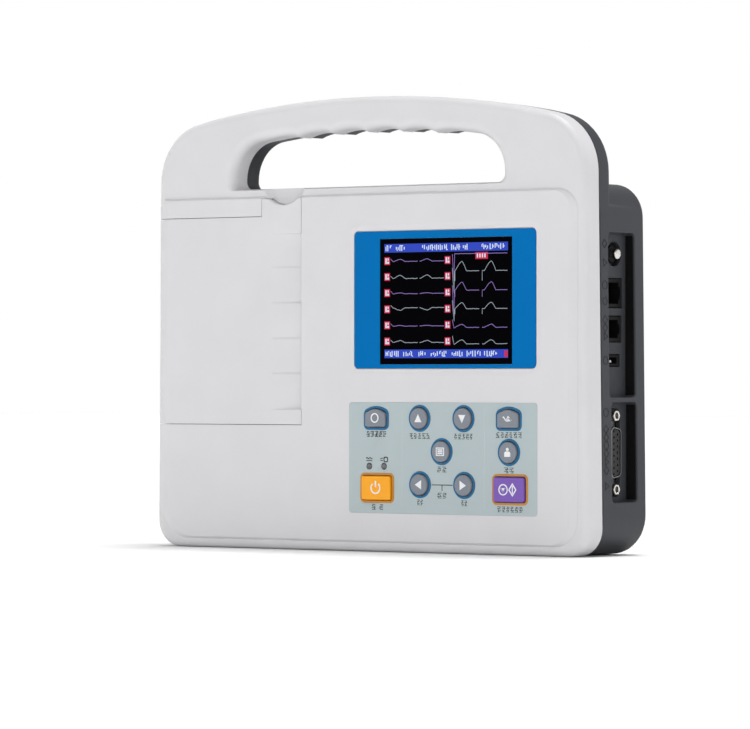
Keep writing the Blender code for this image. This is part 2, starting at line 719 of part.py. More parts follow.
def build_electronics():
    board_with_parts(
        "main_board",
        ((-0.0300, 0.0960), (0.0140, 0.0156), (0.0080, 0.1580)),
        [
            ((0.0300, 0.0520), (0.0150, 0.0175), (0.1080, 0.1300)),
            ((0.0620, 0.0740), (0.0150, 0.0170), (0.1100, 0.1280)),
            ((-0.0220, 0.0140), (0.0150, 0.0200), (0.1160, 0.1440)),
            ((0.0640, 0.0900), (0.0150, 0.0210), (0.0300, 0.0560)),
        ],
    )
    board_with_parts(
        "amplifier_board",
        ((0.1034, 0.1050), (0.0175, 0.0435), (0.0220, 0.0720)),
        [((0.0990, 0.1040), (0.0220, 0.0390), (0.0290, 0.0640))],
    )
    board_with_parts("connector_board", ((0.0950, 0.1183), (0.0380, 0.0396), (0.0820, 0.1280)), [])
    board_with_parts(
        "power_module",
        ((-0.1060, -0.0440), (0.0410, 0.0426), (0.0070, 0.0520)),
        [
            ((-0.0800, -0.0520), (0.0220, 0.0415), (0.0140, 0.0440)),
            ((-0.1020, -0.0880), (0.0270, 0.0415), (0.0120, 0.0260)),
            ((-0.1020, -0.0860), (0.0300, 0.0415), (0.0320, 0.0470)),
        ],
    )
    x, z = SPEAKER
    profile = [(0.0, 0.0), (SPEAKER_RADIUS, 0.0), (SPEAKER_RADIUS, -0.0018)]
    profile += [(0.0080, -0.0034), (0.0080, -0.0060), (0.0, -0.0060)]
    speaker = turned("speaker", profile, (x, 0.0455, z), "Y")
    speaker.matrix_world = speaker.matrix_world @ Matrix.Rotation(math.pi, 4, "X")
    finish(speaker, BLACK, 0.6)


def build_ribbons():
    """Flat cables: one from the display, one from the print head, both to the main board."""
    thick = 0.0003
    display = [(0.0068, 0.1200), (0.0100, 0.1200), (0.0100, 0.0980), (0.0134, 0.0980)]
    outline = strip_outline(display, thick)
    ribbon = prism("display_ribbon", [[(FRONT_Y + d, z) for d, z in outline]], (0.0400, 0.0560), "X")
    finish(ribbon, (0.75, 0.72, 0.62), 0.5)
    path = [(-0.0430, 0.0186), (-0.0430, 0.0240), (-0.0290, 0.0240), (-0.0200, 0.0164)]
    outline = strip_outline([(x, FRONT_Y + d) for x, d in path], thick)
    ribbon = prism("print_head_ribbon", [outline], (0.0900, 0.1060), "Z")
    finish(ribbon, (0.75, 0.72, 0.62), 0.5)


def strip_outline(path, thickness):
    """Outline of a flat strip seen edge on, along a path of corners."""
    points = [Vector(p) for p in path]
    left, right = [], []
    for index, here in enumerate(points):
        back = (here - points[index - 1]).normalized() if index else None
        ahead = (points[index + 1] - here).normalized() if index + 1 < len(points) else None
        if back is None or ahead is None:
            along = ahead if back is None else back
            stretch = 1.0
        else:
            along = (back + ahead).normalized()
            stretch = 1.0 / max(0.3, along.dot(ahead))
        across = Vector((-along.y, along.x)) * thickness / 2 * stretch
        left.append(tuple(here + across))
        right.append(tuple(here - across))
    return left + right[::-1]


# --- Connectors -------------------------------------------------------------------------------


def build_sockets():
    for name, (depth, z) in SOCKETS.items():
        jack = block(name, (0.1060, 0.1208), depth, z)
        wall = 0.0011 if name == "auxiliary_jack" else 0.0016
        cut(jack, block(name + "_mouth", (0.1090, 0.1230), grown(depth, -wall), grown(z, -wall), guide=True))
        finish(jack, BLACK, 0.4)
    profile = [(0.0, 0.0235), (0.0022, 0.0235), (0.00265, 0.0230), (0.00265, 0.0184)]
    profile += [(0.0075, 0.0184), (0.0075, 0.0168), (0.0, 0.0168)]
    terminal = turned("earth_terminal", profile, (0.1000, CONNECTOR_DEPTH, EARTH_PIN_Z), "X")
    finish(terminal, (0.72, 0.70, 0.68), 0.25, 1.0)


def d_outline(grow):
    """D-shaped connector outline in (y, z): the front side is longer than the back one."""
    middle = FRONT_Y + CONNECTOR_DEPTH
    half = 0.0040 + grow
    long_side = 0.0120 + grow
    short_side = 0.0106 + grow
    radius = 0.0024 + grow
    corners = [
        (middle - half, PATIENT_Z - long_side, radius),
        (middle + half, PATIENT_Z - short_side, radius),
        (middle + half, PATIENT_Z + short_side, radius),
        (middle - half, PATIENT_Z + long_side, radius),
    ]
    return rounded(corners)


def build_patient_connector():
    depth = grown((CONNECTOR_DEPTH, CONNECTOR_DEPTH), 0.0060)
    plate_z = grown((PATIENT_Z, PATIENT_Z), 0.0195)
    shell = block("patient_connector_shell", (0.1170, 0.1184), depth, plate_z)
    fuse(shell, prism("patient_rim", [d_outline(0.0)], (0.1175, 0.1238), "X", guide=True))
    cut(shell, prism("patient_bore", [d_outline(-0.0005)], (0.1150, 0.1250), "X", guide=True))
    insert = prism("patient_connector_insert", [d_outline(-0.0008)], (0.1120, 0.1234), "X")
    housing_depth = grown((CONNECTOR_DEPTH, CONNECTOR_DEPTH), 0.0050)
    housing_z = grown((PATIENT_Z, PATIENT_Z), 0.0128)
    fuse(insert, block("patient_housing", (0.1054, 0.1167), housing_depth, housing_z, guide=True))
    for side, name in ((1, "jackscrew_upper"), (-1, "jackscrew_lower")):
        place = (CONNECTOR_DEPTH, PATIENT_Z + side * JACKSCREW_PITCH / 2)
        cut(shell, cylinder(name + "_hole", place, 0.0016, (0.1150, 0.1200), "X", guide=True, sides=12))
        screw = cylinder(name, place, 0.00274, (0.1187, 0.1242), "X", sides=6)
        shank = cylinder(name + "_shank", place, 0.0013, (0.1130, 0.1190), "X", guide=True, sides=12)
        bore = cylinder(name + "_bore", place, 0.0013, (0.1200, 0.1250), "X", guide=True, sides=12)
        cut(fuse(screw, shank), bore)
        finish(screw, (0.72, 0.70, 0.68), 0.3, 1.0)
    finish(shell, (0.72, 0.70, 0.68), 0.3, 1.0)
    finish(insert, BLACK, 0.5)


def build_mains_inlet():
    depth = grown(MAINS_DEPTH, -GAP)
    z = grown(MAINS_Z, -GAP)
    inlet = block("mains_inlet", (-0.1258, -0.1075), depth, z)
    mouth_depth = grown(depth, -0.0018)
    mouth_z = grown(z, -0.0019)
    cut(inlet, block("mains_mouth", (-0.1300, -0.1095), mouth_depth, mouth_z, guide=True))
    middle = (depth[0] + depth[1]) / 2
    middle_z = (z[0] + z[1]) / 2
    for number, (back, up) in enumerate(((0.0022, 0.0070), (0.0022, -0.0070), (-0.0022, 0.0))):
        pin_depth = grown((middle + back, middle + back), 0.0010)
        pin_z = grown((middle_z + up, middle_z + up), 0.0020)
        fuse(inlet, block(f"mains_pin_{number}", (-0.1220, -0.1085), pin_depth, pin_z, guide=True))
    finish(inlet, BLACK, 0.45)


# --- Printer ----------------------------------------------------------------------------------


def gear_centres():
    platen = Vector((PLATEN_X, PLATEN_DEPTH))
    to_idler = Vector((math.cos(IDLER_BEARING), math.sin(IDLER_BEARING)))
    to_motor = Vector((math.cos(MOTOR_BEARING), math.sin(MOTOR_BEARING)))
    idler = platen + to_idler * GEAR_MODULE * (PLATEN_TEETH + IDLER_TEETH) / 2
    motor = idler + to_motor * GEAR_MODULE * (IDLER_TEETH + PINION_TEETH) / 2
    return platen, idler, motor


def gear(name, teeth, centre, phase, bore):
    middle = (centre.x, FRONT_Y + centre.y)
    loops = [gear_outline(teeth, middle, phase)]
    if bore:
        loops.append(circle(middle, bore, 16))
    wheel = prism(name, loops, GEAR_Z, "Z")
    return set_origin(wheel, (centre.x, centre.y, GEAR_Z[0]))


def build_gears():
    platen, idler, motor = gear_centres()
    idler_pitch = 2 * math.pi / IDLER_TEETH
    pinion_pitch = 2 * math.pi / PINION_TEETH
    # A tooth of each driven wheel faces a gap of the wheel before it.
    idler_phase = IDLER_BEARING + math.pi + idler_pitch / 2
    facing_motor = (MOTOR_BEARING - idler_phase) / idler_pitch
    offset = (facing_motor - round(facing_motor)) * idler_pitch
    pinion_phase = MOTOR_BEARING + math.pi + pinion_pitch / 2 + offset * IDLER_TEETH / PINION_TEETH
    wheel = gear("platen_gear", PLATEN_TEETH, platen, IDLER_BEARING, 0.0020 + RUNNING_HOLE)
    finish(wheel, (0.80, 0.80, 0.78), 0.5)
    wheel = gear("idler_gear", IDLER_TEETH, idler, idler_phase, 0.0012 + RUNNING_HOLE)
    finish(wheel, (0.80, 0.80, 0.78), 0.5)
    pinion = gear("motor_pinion", PINION_TEETH, motor, pinion_phase, 0.0)
    shaft = cylinder("motor_shaft", tuple(motor), 0.0010, (0.1400, 0.1560), "Z", guide=True, sides=12)
    finish(fuse(pinion, shaft), (0.75, 0.60, 0.30), 0.35, 1.0)


def build_platen():
    place = (PLATEN_X, PLATEN_DEPTH)
    shaft = cylinder("platen_shaft", place, 0.0020, (0.0615, 0.1582), "Z", sides=16)
    finish(shaft, STEEL, 0.25, 1.0)
    middle = (PLATEN_X, FRONT_Y + PLATEN_DEPTH)
    loops = [circle(middle, PLATEN_RADIUS, 28), circle(middle, 0.0023, 16)]
    roller = prism("platen_roller", loops, (0.0658, 0.1502), "Z")
    set_origin(roller, (PLATEN_X, PLATEN_DEPTH, 0.0658))
    finish(roller, (0.02, 0.02, 0.02), 0.75)


def build_paper():
    middle = (ROLL_X, FRONT_Y + ROLL_DEPTH)
    roll = prism("paper_roll", [circle(middle, ROLL_RADIUS, 32), circle(middle, 0.0063, 16)], PAPER_Z, "Z")
    set_origin(roll, (ROLL_X, ROLL_DEPTH, PAPER_Z[0]))
    finish(roll, (0.85, 0.82, 0.80), 0.8)
    low, high = FRAME_Z
    profile = [(0.0, high - 0.0005), (0.0020, high - 0.0005), (0.0020, 0.1500), (0.0060, 0.1495)]
    profile += [(0.0060, 0.0645), (0.0020, 0.0640), (0.0020, low + 0.0005), (0.0, low + 0.0005)]
    spindle = turned("paper_spindle", profile, (ROLL_X, ROLL_DEPTH, 0.0))
    finish(spindle, (0.10, 0.10, 0.11), 0.5)


def build_printer_frame():
    """Chassis of the recorder: a bay open to the front, which carries all its pieces."""
    _, idler, motor = gear_centres()
    x = (-0.1195, -0.0339)
    depth = (0.0146, 0.0458)
    frame = block("printer_frame", x, depth, FRAME_Z)
    inner_z = (FRAME_Z[0] + 0.0018, FRAME_Z[1] - 0.0018)
    bay = block("paper_bay", grown(x, -0.0016), (0.0100, depth[1] - 0.0016), inner_z, guide=True)
    rail = block("head_rail", (-0.0500, -0.0350), (0.0208, 0.0224), (0.0700, 0.0880), guide=True)
    upper_rail = block("upper_head_rail", (-0.0500, -0.0350), (0.0208, 0.0224), (0.1080, 0.1340), guide=True)
    stud = cylinder("idler_stud", tuple(idler), 0.0012, (0.1520, 0.1590), "Z", guide=True, sides=12)
    cut(frame, bay)
    fuse(frame, rail, upper_rail, stud)
    slot_x = grown((ROLL_X, ROLL_X), 0.0025)
    slot = block("spindle_slots", slot_x, (0.0100, ROLL_DEPTH + 0.0025), (0.0590, 0.1550), guide=True)
    motor_hole = cylinder("motor_hole", tuple(motor), 0.0030, (0.1500, 0.1550), "Z", guide=True, sides=16)
    ribbon_hole = block("ribbon_hole", (-0.0360, -0.0320), (0.0228, 0.0252), (0.0880, 0.1080), guide=True)
    cut(frame, slot, motor_hole, ribbon_hole)
    finish(frame, (0.30, 0.31, 0.33), 0.5)


def build_print_mechanism():
    _, _, motor = gear_centres()
    head = block("print_head", (-0.0480, -0.0372), (0.0144, 0.0174), (0.0664, 0.1496))
    finish(bevel(head, 0.0003, 1), (0.55, 0.50, 0.42), 0.4)
    body = cylinder("stepper_motor", tuple(motor), 0.0120, (0.1360, 0.1512), "Z", sides=28)
    bore = cylinder("motor_bore", tuple(motor), 0.0013, (0.1380, 0.1530), "Z", guide=True, sides=12)
    finish(cut(body, bore), (0.45, 0.46, 0.48), 0.35, 0.9)


# --- The whole machine --------------------------------------------------------------------------


def main():
    for piece in list(bpy.data.objects):
        bpy.data.objects.remove(piece)
    fresh_collection("ecg_machine")
    fresh_collection("guides")
    build_shared_guides()
    build_front_shell()
    build_paper_door()
    build_door_fittings()
    build_rear_shell()
    build_screws_and_feet()
    build_battery()
    build_display()
    build_keypad()
    build_electronics()
    build_ribbons()
    build_sockets()
    build_patient_connector()
    build_mains_inlet()
    build_gears()
    build_platen()
    build_paper()
    build_printer_frame()
    build_print_mechanism()


main()
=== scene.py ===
"""Looks of the ECG machine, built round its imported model.

Metres, +Z up, in the model's frame. "Depth" is the distance behind the raised flat front,
which is at y = FRONT_Y. Outlines hold (x, z) seen from the front, or (depth, z) seen from a side.
"""

import math
import random

import bmesh
import bpy
from mathutils import Matrix, Vector


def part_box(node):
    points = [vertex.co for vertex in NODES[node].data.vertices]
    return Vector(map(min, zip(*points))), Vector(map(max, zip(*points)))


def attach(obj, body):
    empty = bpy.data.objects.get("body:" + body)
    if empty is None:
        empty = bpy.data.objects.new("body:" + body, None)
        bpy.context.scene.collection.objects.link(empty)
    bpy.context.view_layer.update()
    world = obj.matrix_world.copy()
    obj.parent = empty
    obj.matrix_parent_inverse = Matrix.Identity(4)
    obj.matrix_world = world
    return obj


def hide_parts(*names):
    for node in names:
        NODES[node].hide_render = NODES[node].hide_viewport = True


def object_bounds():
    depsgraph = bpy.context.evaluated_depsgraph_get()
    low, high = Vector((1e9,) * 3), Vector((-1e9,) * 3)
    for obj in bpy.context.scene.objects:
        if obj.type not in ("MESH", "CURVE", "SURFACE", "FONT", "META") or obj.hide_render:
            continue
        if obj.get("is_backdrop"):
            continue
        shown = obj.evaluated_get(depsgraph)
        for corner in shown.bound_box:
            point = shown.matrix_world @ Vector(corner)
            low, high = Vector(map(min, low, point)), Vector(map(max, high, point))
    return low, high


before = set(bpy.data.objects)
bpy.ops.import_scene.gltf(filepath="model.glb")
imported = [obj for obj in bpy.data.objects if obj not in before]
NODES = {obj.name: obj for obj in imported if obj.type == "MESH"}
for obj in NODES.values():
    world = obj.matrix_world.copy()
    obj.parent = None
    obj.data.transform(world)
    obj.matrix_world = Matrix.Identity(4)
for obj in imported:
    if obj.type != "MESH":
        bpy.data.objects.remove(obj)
CAD_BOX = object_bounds()

# --- Dimensions -------------------------------------------------------------------------------

FRONT_LOW, FRONT_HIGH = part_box("front_shell")
REAR_LOW, REAR_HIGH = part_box("rear_shell")
FRONT_Y = FRONT_LOW.y
HEIGHT = FRONT_HIGH.z
REAR_START = REAR_LOW.y - FRONT_Y + 0.0007
REAR_FACE = REAR_HIGH.y - FRONT_Y
PARTING = REAR_START - 0.0003

SIDE_LEAN = 0.0115  # how far each side leans in, for each metre of height
BASE_CORNER = 0.018
HALF_WIDTH = FRONT_HIGH.x + SIDE_LEAN * BASE_CORNER
FRONT_CORNER = 0.0125
REAR_CORNER = 0.018
TOP_CORNER = 0.028
BOX_CORNER = 0.0155
TOP_ARC = 0.530  # radius of the arched top of the handle
SHOULDER_X = 0.1246
BOX_TOP = 0.168
WALL = 0.0024
STEP = 0.0016  # the rim and the handle lie this far behind the raised front
# The raised front's right side, base and upper edge, each at its foot and at its top.
RAISED_RIGHT = (0.1209, 0.1169)
RAISED_LOW = (0.0041, 0.0052)
RAISED_HIGH = (0.1651, 0.1639)
HANDLE_BACK = 0.0235
FRONT_FILLET = 0.0036
PARTING_EDGE = 0.0004
LEFT_ROUND = (0.011, 0.009)  # the left edge's rounding: across the front, and back from it
LEFT_DRAFT = 0.0024  # how much further it is rounded at the base than at the top

OPENING_HALF = 0.078
OPENING_BOTTOM = 0.1687
OPENING_ARC = 0.5136
OPENING_CORNER = 0.018
OPENING_SHIFT = 0.0008
GRIP_PITCH = 0.0198
GRIP_RISE = 0.0016

HINGE_X, HINGE_DEPTH = -0.1233, 0.0088
HINGE_BARREL = 0.0031
DOOR_BOTTOM, DOOR_TOP = 0.058, 0.1557
DOOR_RIGHT = -0.0346
TAB_LEFT, TAB_TOP = -0.0584, 0.164
SEAM = 0.00035
DOOR_GAP = 0.00024
DOOR_FLARE = 0.00010
SCOOP = (-0.0458, 0.1743)
SCOOP_RADIUS = 0.0133
PAST_FRONT = -0.002  # where a cutter starts that runs through the front face
CHUTE = (0.0652, 0.1473)
CHUTE_GROOVES = (0.0822, 0.0986, 0.1151, 0.1317)

POCKET_FLOOR = 0.1210
UPPER_POCKET = ((0.0192, 0.0400), (0.0712, 0.1453))
LOWER_POCKET = ((0.0206, 0.0406), (0.0239, 0.0690))
CONNECTOR_DEPTH = 0.0303
CONNECTOR_SUNK = 0.0015  # how far the D-shaped rim and its screws stand back from their room
MARK_DEPTH = 0.0160
# How far the painted shade at the back of each pocket reaches forward over its floor.
SHADE_REACH = 0.0008
JACKS = ("network_jack", "serial_jack", "auxiliary_jack")
SCREW_PLACES = [node for node in NODES if node.startswith("case_screw_")]
FEET = [node for node in NODES if node.startswith("foot_")]
LIP = 0.0003  # rounding at the mouth of small holes, and at small edges

KEYS = [node for node in NODES if node.startswith("key_")]
LEDS = [node for node in NODES if node.startswith("led_lens_")]
ARCHED_KEYS = ("key_mode", "key_back")
WIDE_KEYS = ("key_power", "key_start_stop")
KEY_FLANGE = 0.0011
KEY_ARCH = 0.0018  # how far an arched key's shoulders lie below its top
RING_WIDTH = 0.0014
RING_TOP = -0.00035
FILM_CORNER = 0.0014
FILM_GAP = 0.00006
PRINT_SPAN = (-0.00004, 0.00002)
PRINT_LINE = 0.00027
LABEL_HEIGHT = 0.0025
LABEL_LEVELS = (-0.5, -0.17, 0.17, 0.5)
ICON_SCALE = 0.00132

# --- Outlines ---------------------------------------------------------------------------------


def rounded(corners, pieces=12):
    """Closed outline through corners (u, v, radius), each turned into an arc of so many pieces."""
    outline = []
    for index, (u, v, radius) in enumerate(corners):
        if radius <= 0.0:
            outline.append((u, v))
            continue
        here = Vector((u, v))
        back = (Vector(corners[index - 1][:2]) - here).normalized()
        ahead = (Vector(corners[(index + 1) % len(corners)][:2]) - here).normalized()
        half_angle = back.angle(ahead) / 2
        centre = here + (back + ahead).normalized() * radius / math.sin(half_angle)
        spoke = here + back * radius / math.tan(half_angle) - centre
        sweep = math.pi - 2 * half_angle
        turn = -1.0 if back.x * ahead.y - back.y * ahead.x > 0 else 1.0
        for k in range(pieces + 1):
            point = centre + Matrix.Rotation(turn * sweep * k / pieces, 2) @ spoke
            outline.append((point.x, point.y))
    return outline


def rectangle(u, v):
    return [(u[0], v[0]), (u[1], v[0]), (u[1], v[1]), (u[0], v[1])]


def rounded_box(u, v, radius):
    return rounded([(*corner, radius) for corner in rectangle(u, v)])


def grown(pair, amount):
    return (pair[0] - amount, pair[1] + amount)


def around(middle, half):
    return (middle - half, middle + half)


def mid(pair):
    return (pair[0] + pair[1]) / 2


def mix(a, b, t):
    return a + (b - a) * t


def circle(centre, radius, sides=48):
    u, v = centre
    angles = [2 * math.pi / sides * k for k in range(sides)]
    return [(u + radius * math.cos(a), v + radius * math.sin(a)) for a in angles]


def side_x(z):
    return HALF_WIDTH - SIDE_LEAN * z


def arch_z(x, radius):
    return HEIGHT - TOP_ARC + math.sqrt(radius**2 - x**2)


def shell_outline(inset=0.0, corner=FRONT_CORNER):
    """Outside of the machine seen from the front, with its arched handle."""
    arc = TOP_ARC - inset
    base_x = HALF_WIDTH - inset
    shoulder = SHOULDER_X - inset
    corners = [(-base_x, inset, corner - inset), (base_x, inset, corner - inset)]
    corners.append((shoulder, arch_z(shoulder, arc), TOP_CORNER - inset))
    steps = 30
    for k in range(steps + 1):
        x = 0.094 * (1 - 2 * k / steps)
        corners.append((x, arch_z(x, arc), 0.0))
    corners.append((-shoulder, arch_z(shoulder, arc), TOP_CORNER - inset))
    return rounded(corners)


def box_outline(inset=0.0):
    """Outside of the deep rear box seen from the front."""
    top_x = side_x(BOX_TOP) - inset
    base_x = HALF_WIDTH - inset
    base, top = REAR_CORNER - inset, BOX_CORNER - inset
    low, high = inset, BOX_TOP - inset
    return rounded([(-base_x, low, base), (base_x, low, base),
                    (top_x, high, top), (-top_x, high, top)])


def opening_outline(grow=0.0, grow_below=None, ridges=True):
    """Hand opening under the handle, with finger recesses between its ridges."""
    below = grow if grow_below is None else grow_below
    side = OPENING_HALF + grow
    arc = OPENING_ARC + grow
    rise = GRIP_RISE if ridges else 0.0
    corner_z = arch_z(side, arc) + rise
    low = OPENING_BOTTOM - below
    corner = OPENING_CORNER + grow - (0.0 if ridges else 0.0020)
    corners = [(side, low, 0.004 + below), (side, corner_z, corner)]
    periods = 5
    steps = periods * 12
    for k in range(steps + 1):
        x = GRIP_PITCH * periods * (0.5 - k / steps)
        recess = rise * abs(math.sin(math.pi * x / GRIP_PITCH)) ** 0.8
        corners.append((x, arch_z(x, arc) + recess, 0.0))
    corners.append((-side, corner_z, corner))
    corners.append((-side, low, 0.004 + below))
    return [(x + OPENING_SHIFT, z) for x, z in rounded(corners)]


def left_inset(depth, z):
    """How far the rounded left edge stands in from the side at this depth and height."""
    across, back = LEFT_ROUND
    share = min(1.0, max(0.0, (back - depth) / back))
    return across * (1 - math.sqrt(1 - share**2)) + LEFT_DRAFT * share * (1 - z / HEIGHT)


def front_ring(depth):
    """Outline of the front half at this depth: its edge is round, and rounder at the left."""
    share = min(1.0, max(0.0, (STEP + FRONT_FILLET - depth) / FRONT_FILLET))
    edge = FRONT_FILLET * (1 - math.sqrt(1 - share**2))
    ring = []
    for x, z in shell_outline(edge):
        extra = max(0.0, left_inset(depth, z) - edge)
        near = min(1.0, max(0.0, (-x - 0.085) / 0.035))
        ring.append((x + extra * near * near * (3 - 2 * near), z))
    return ring


def raised_outline(t):
    """Edge of the raised front: t runs from 0 at its foot to 1 at its top."""
    depth = STEP * (1 - t)
    right, low, high = (mix(*ends, t) for ends in (RAISED_RIGHT, RAISED_LOW, RAISED_HIGH))
    corners = [
        (-side_x(low) + left_inset(depth, low) + 0.00005, low, mix(0.0168, 0.0152, t)),
        (right, low, mix(0.0128, 0.0104, t)),
        (right, high, mix(0.0108, 0.0078, t)),
        (-side_x(high) + left_inset(depth, high) + 0.00005, high, mix(0.0018, 0.0012, t)),
    ]
    return rounded(corners)


def foot_outline(grow):
    """Line round the foot of the raised front; at the left it stays under it."""
    right, low, high = RAISED_RIGHT[0] + grow, RAISED_LOW[0] - grow, RAISED_HIGH[0] + grow
    corners = [
        (-side_x(0.004) + 0.0060 + LEFT_DRAFT, low, 0.0160 + grow),
        (right, low, 0.0128 + grow),
        (right, high, 0.0108 + grow),
        (-side_x(0.165) + 0.0060, high, 0.0018 + grow),
    ]
    return rounded(corners)


def door_outline(gap=0.0):
    """Paper door seen from the front, open at the left, where it wraps round the side."""
    left = -HALF_WIDTH - 0.010
    return [
        (left, DOOR_BOTTOM + gap),
        (DOOR_RIGHT - gap, DOOR_BOTTOM + gap),
        (DOOR_RIGHT - gap, TAB_TOP - gap),
        (TAB_LEFT + gap, TAB_TOP - gap),
        (TAB_LEFT + gap, DOOR_TOP - gap),
        (left, DOOR_TOP - gap),
    ]


def stroke(path, width, closed=False):
    """Outlines of a line of this width along a path: one loop, or two where it is closed."""
    points = [Vector(p) for p in path]
    count = len(points)
    left, right = [], []
    for index, here in enumerate(points):
        back = here - points[index - 1] if closed or index else None
        ahead = points[(index + 1) % count] - here if closed or index + 1 < count else None
        along = (ahead or back).normalized()
        stretch = 1.0
        if back and ahead:
            along = (back.normalized() + ahead.normalized()).normalized()
            stretch = 1.0 / max(0.5, along.dot(ahead.normalized()))
        across = Vector((-along.y, along.x)) * width / 2 * stretch
        left.append(tuple(here + across))
        right.append(tuple(here - across))
    return [left, right] if closed else [left + right[::-1]]


def moved(loops, u, v, scale=1.0):
    return [[(u + scale * x, v + scale * y) for x, y in loop] for loop in loops]


# --- Mesh tools -------------------------------------------------------------------------------


def link(name, data):
    """New object in the scene that holds a mesh, a curve, a light or a camera."""
    piece = bpy.data.objects.new(name, data)
    bpy.context.scene.collection.objects.link(piece)
    return piece


def spot(axis, place, u, v):
    """World point of an outline's point at a place along an axis."""
    where = place(u, v) if callable(place) else place
    if axis == "Y":
        return (u, FRONT_Y + where, v)
    if axis == "X":
        return (where, FRONT_Y + u, v)
    return (u, FRONT_Y + v, where)


def made(name, bm):
    """New piece from what a bmesh holds."""
    mesh = bpy.data.meshes.new(name)
    bm.to_mesh(mesh)
    bm.free()
    return link(name, mesh)


def skinned(name, outlines, merge=False):
    """Closed body through rings of points, with a cap on the first ring and on the last."""
    bm = bmesh.new()
    rings = [[bm.verts.new(point) for point in outline] for outline in outlines]
    for low, high in zip(rings, rings[1:]):
        for i in range(len(low)):
            j = (i + 1) % len(low)
            bm.faces.new((low[i], low[j], high[j], high[i]))
    bm.faces.new(rings[0])
    bm.faces.new(rings[-1])
    if merge:
        bmesh.ops.remove_doubles(bm, verts=bm.verts, dist=1e-7)
    bmesh.ops.recalc_face_normals(bm, faces=bm.faces)
    return made(name, bm)


def loft(name, stack, axis="Y"):
    """Closed body through outlines of equally many points, each at its place on the axis."""
    return skinned(name, [[spot(axis, place, u, v) for u, v in loop] for place, loop in stack])


def prism(name, loop, span, axis="Y"):
    """Straight body that has this outline all along."""
    return loft(name, [(place, loop) for place in span], axis)


def block(name, x, depth, z):
    return prism(name, rectangle(x, z), depth)


def rod(name, centre, radius, span, axis, sides=32):
    return prism(name, circle(centre, radius, sides), span, axis)


def capped(name, outline, start, end, radius, axis="Y", steps=3):
    """Straight body whose edge is rounded at its end."""
    toward = 1.0 if end > start else -1.0
    return loft(name, [(start, outline(0.0))] + fillet(end, radius, outline, toward, steps), axis)


def mouth(name, outline, edge, bottom, radius, axis="Y", steps=3):
    """Cutter for a hole with a rounded mouth."""
    return loft(name, flared(edge, radius, outline, bottom, steps), axis)


def quarter(radius, steps):
    """Points of a quarter circle: how far each is from the edge, and how far in from the side."""
    angles = [math.pi / 2 * k / steps for k in range(steps + 1)]
    return [(radius * (1 - math.sin(a)), radius * (1 - math.cos(a))) for a in angles]


def fillet(edge, radius, outline, toward, steps=6):
    """Rings that round an edge at this place; the outline shrinks by the radius on the way."""
    return [(edge - toward * short, outline(inset)) for short, inset in quarter(radius, steps)]


def flared(edge, radius, outline, bottom, steps=5, clear=0.0015):
    """Rings of a cutter whose hole has a rounded mouth of this radius at the surface."""
    toward = 1.0 if edge > bottom else -1.0
    rings = [(bottom, outline(0.0))] + fillet(edge, radius, outline, toward, steps)
    return rings + [(edge + toward * clear, outline(radius))]


def plate(name, loops, span, axis="Y"):
    """Flat body from outlines; an outline inside another is a hole."""
    curve = bpy.data.curves.new(name, "CURVE")
    curve.dimensions = "2D"
    curve.fill_mode = "BOTH"
    curve.extrude = 0.5
    for loop in loops:
        spline = curve.splines.new("POLY")
        spline.points.add(len(loop) - 1)
        spline.use_cyclic_u = True
        for point, (u, v) in zip(spline.points, loop):
            point.co = (u, v, 0.0, 1.0)
    outline = link(name, curve)
    graph = bpy.context.evaluated_depsgraph_get()
    mesh = bpy.data.meshes.new_from_object(outline.evaluated_get(graph))
    bpy.data.objects.remove(outline)
    bm = bmesh.new()
    bm.from_mesh(mesh)
    bmesh.ops.remove_doubles(bm, verts=bm.verts, dist=1e-7)
    for vert in bm.verts:
        u, v, end = vert.co
        vert.co = spot(axis, span[0] if end < 0 else span[1], u, v)
    bmesh.ops.dissolve_limit(bm, angle_limit=0.001, verts=[], edges=bm.edges)
    bmesh.ops.recalc_face_normals(bm, faces=bm.faces)
    bm.to_mesh(mesh)
    bm.free()
    return link(name, mesh)


def turned(name, profile, place, axis="Z", steps=48):
    """Turned body: the profile holds (radius, height) along the axis, and place is its zero."""
    origin = Vector(place) + Vector((0.0, FRONT_Y, 0.0))
    rings = []
    for radius, height in profile:
        ring = []
        for k in range(steps):
            angle = 2 * math.pi * k / steps
            a, b = radius * math.cos(angle), radius * math.sin(angle)
            local = {"X": (height, a, b), "Y": (a, height, b), "Z": (a, b, height)}[axis]
            ring.append(origin + Vector(local))
        rings.append(ring)
    return skinned(name, rings, merge=True)


def joined(name, parts):
    """One piece from several that don't meet."""
    bm = bmesh.new()
    for part in parts:
        bm.from_mesh(part.data)
        bpy.data.objects.remove(part)
    return made(name, bm)


def combine(piece, operation, tools):
    """Cut a piece by others or join them to it, and remove them."""
    for tool in tools:
        boolean = piece.modifiers.new(tool.name, "BOOLEAN")
        boolean.operation = operation
        boolean.object = tool
    graph = bpy.context.evaluated_depsgraph_get()
    mesh = bpy.data.meshes.new_from_object(piece.evaluated_get(graph))
    piece.modifiers.clear()
    piece.data = mesh
    for tool in tools:
        bpy.data.objects.remove(tool)
    return piece


def cut(piece, *tools):
    return combine(piece, "DIFFERENCE", tools)


def fuse(piece, *tools):
    return combine(piece, "UNION", tools)


def smooth(piece):
    """Smooth shading that keeps sharp edges sharp and flat faces flat."""
    piece.data.shade_smooth()
    piece.data.set_sharp_from_angle(angle=math.radians(34))
    weighted = piece.modifiers.new("weighted", "WEIGHTED_NORMAL")
    weighted.keep_sharp = True
    weighted.weight = 80


def dress(piece, material, body, slot, *replaced):
    """Give a piece its material and body, and hide the nodes it stands for; its slot is not used.
    """
    piece.data.materials.clear()
    piece.data.materials.append(material)
    smooth(piece)
    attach(piece, body)
    if replaced:
        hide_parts(*replaced)
    return piece


# --- What the CAD says ------------------------------------------------------------------------


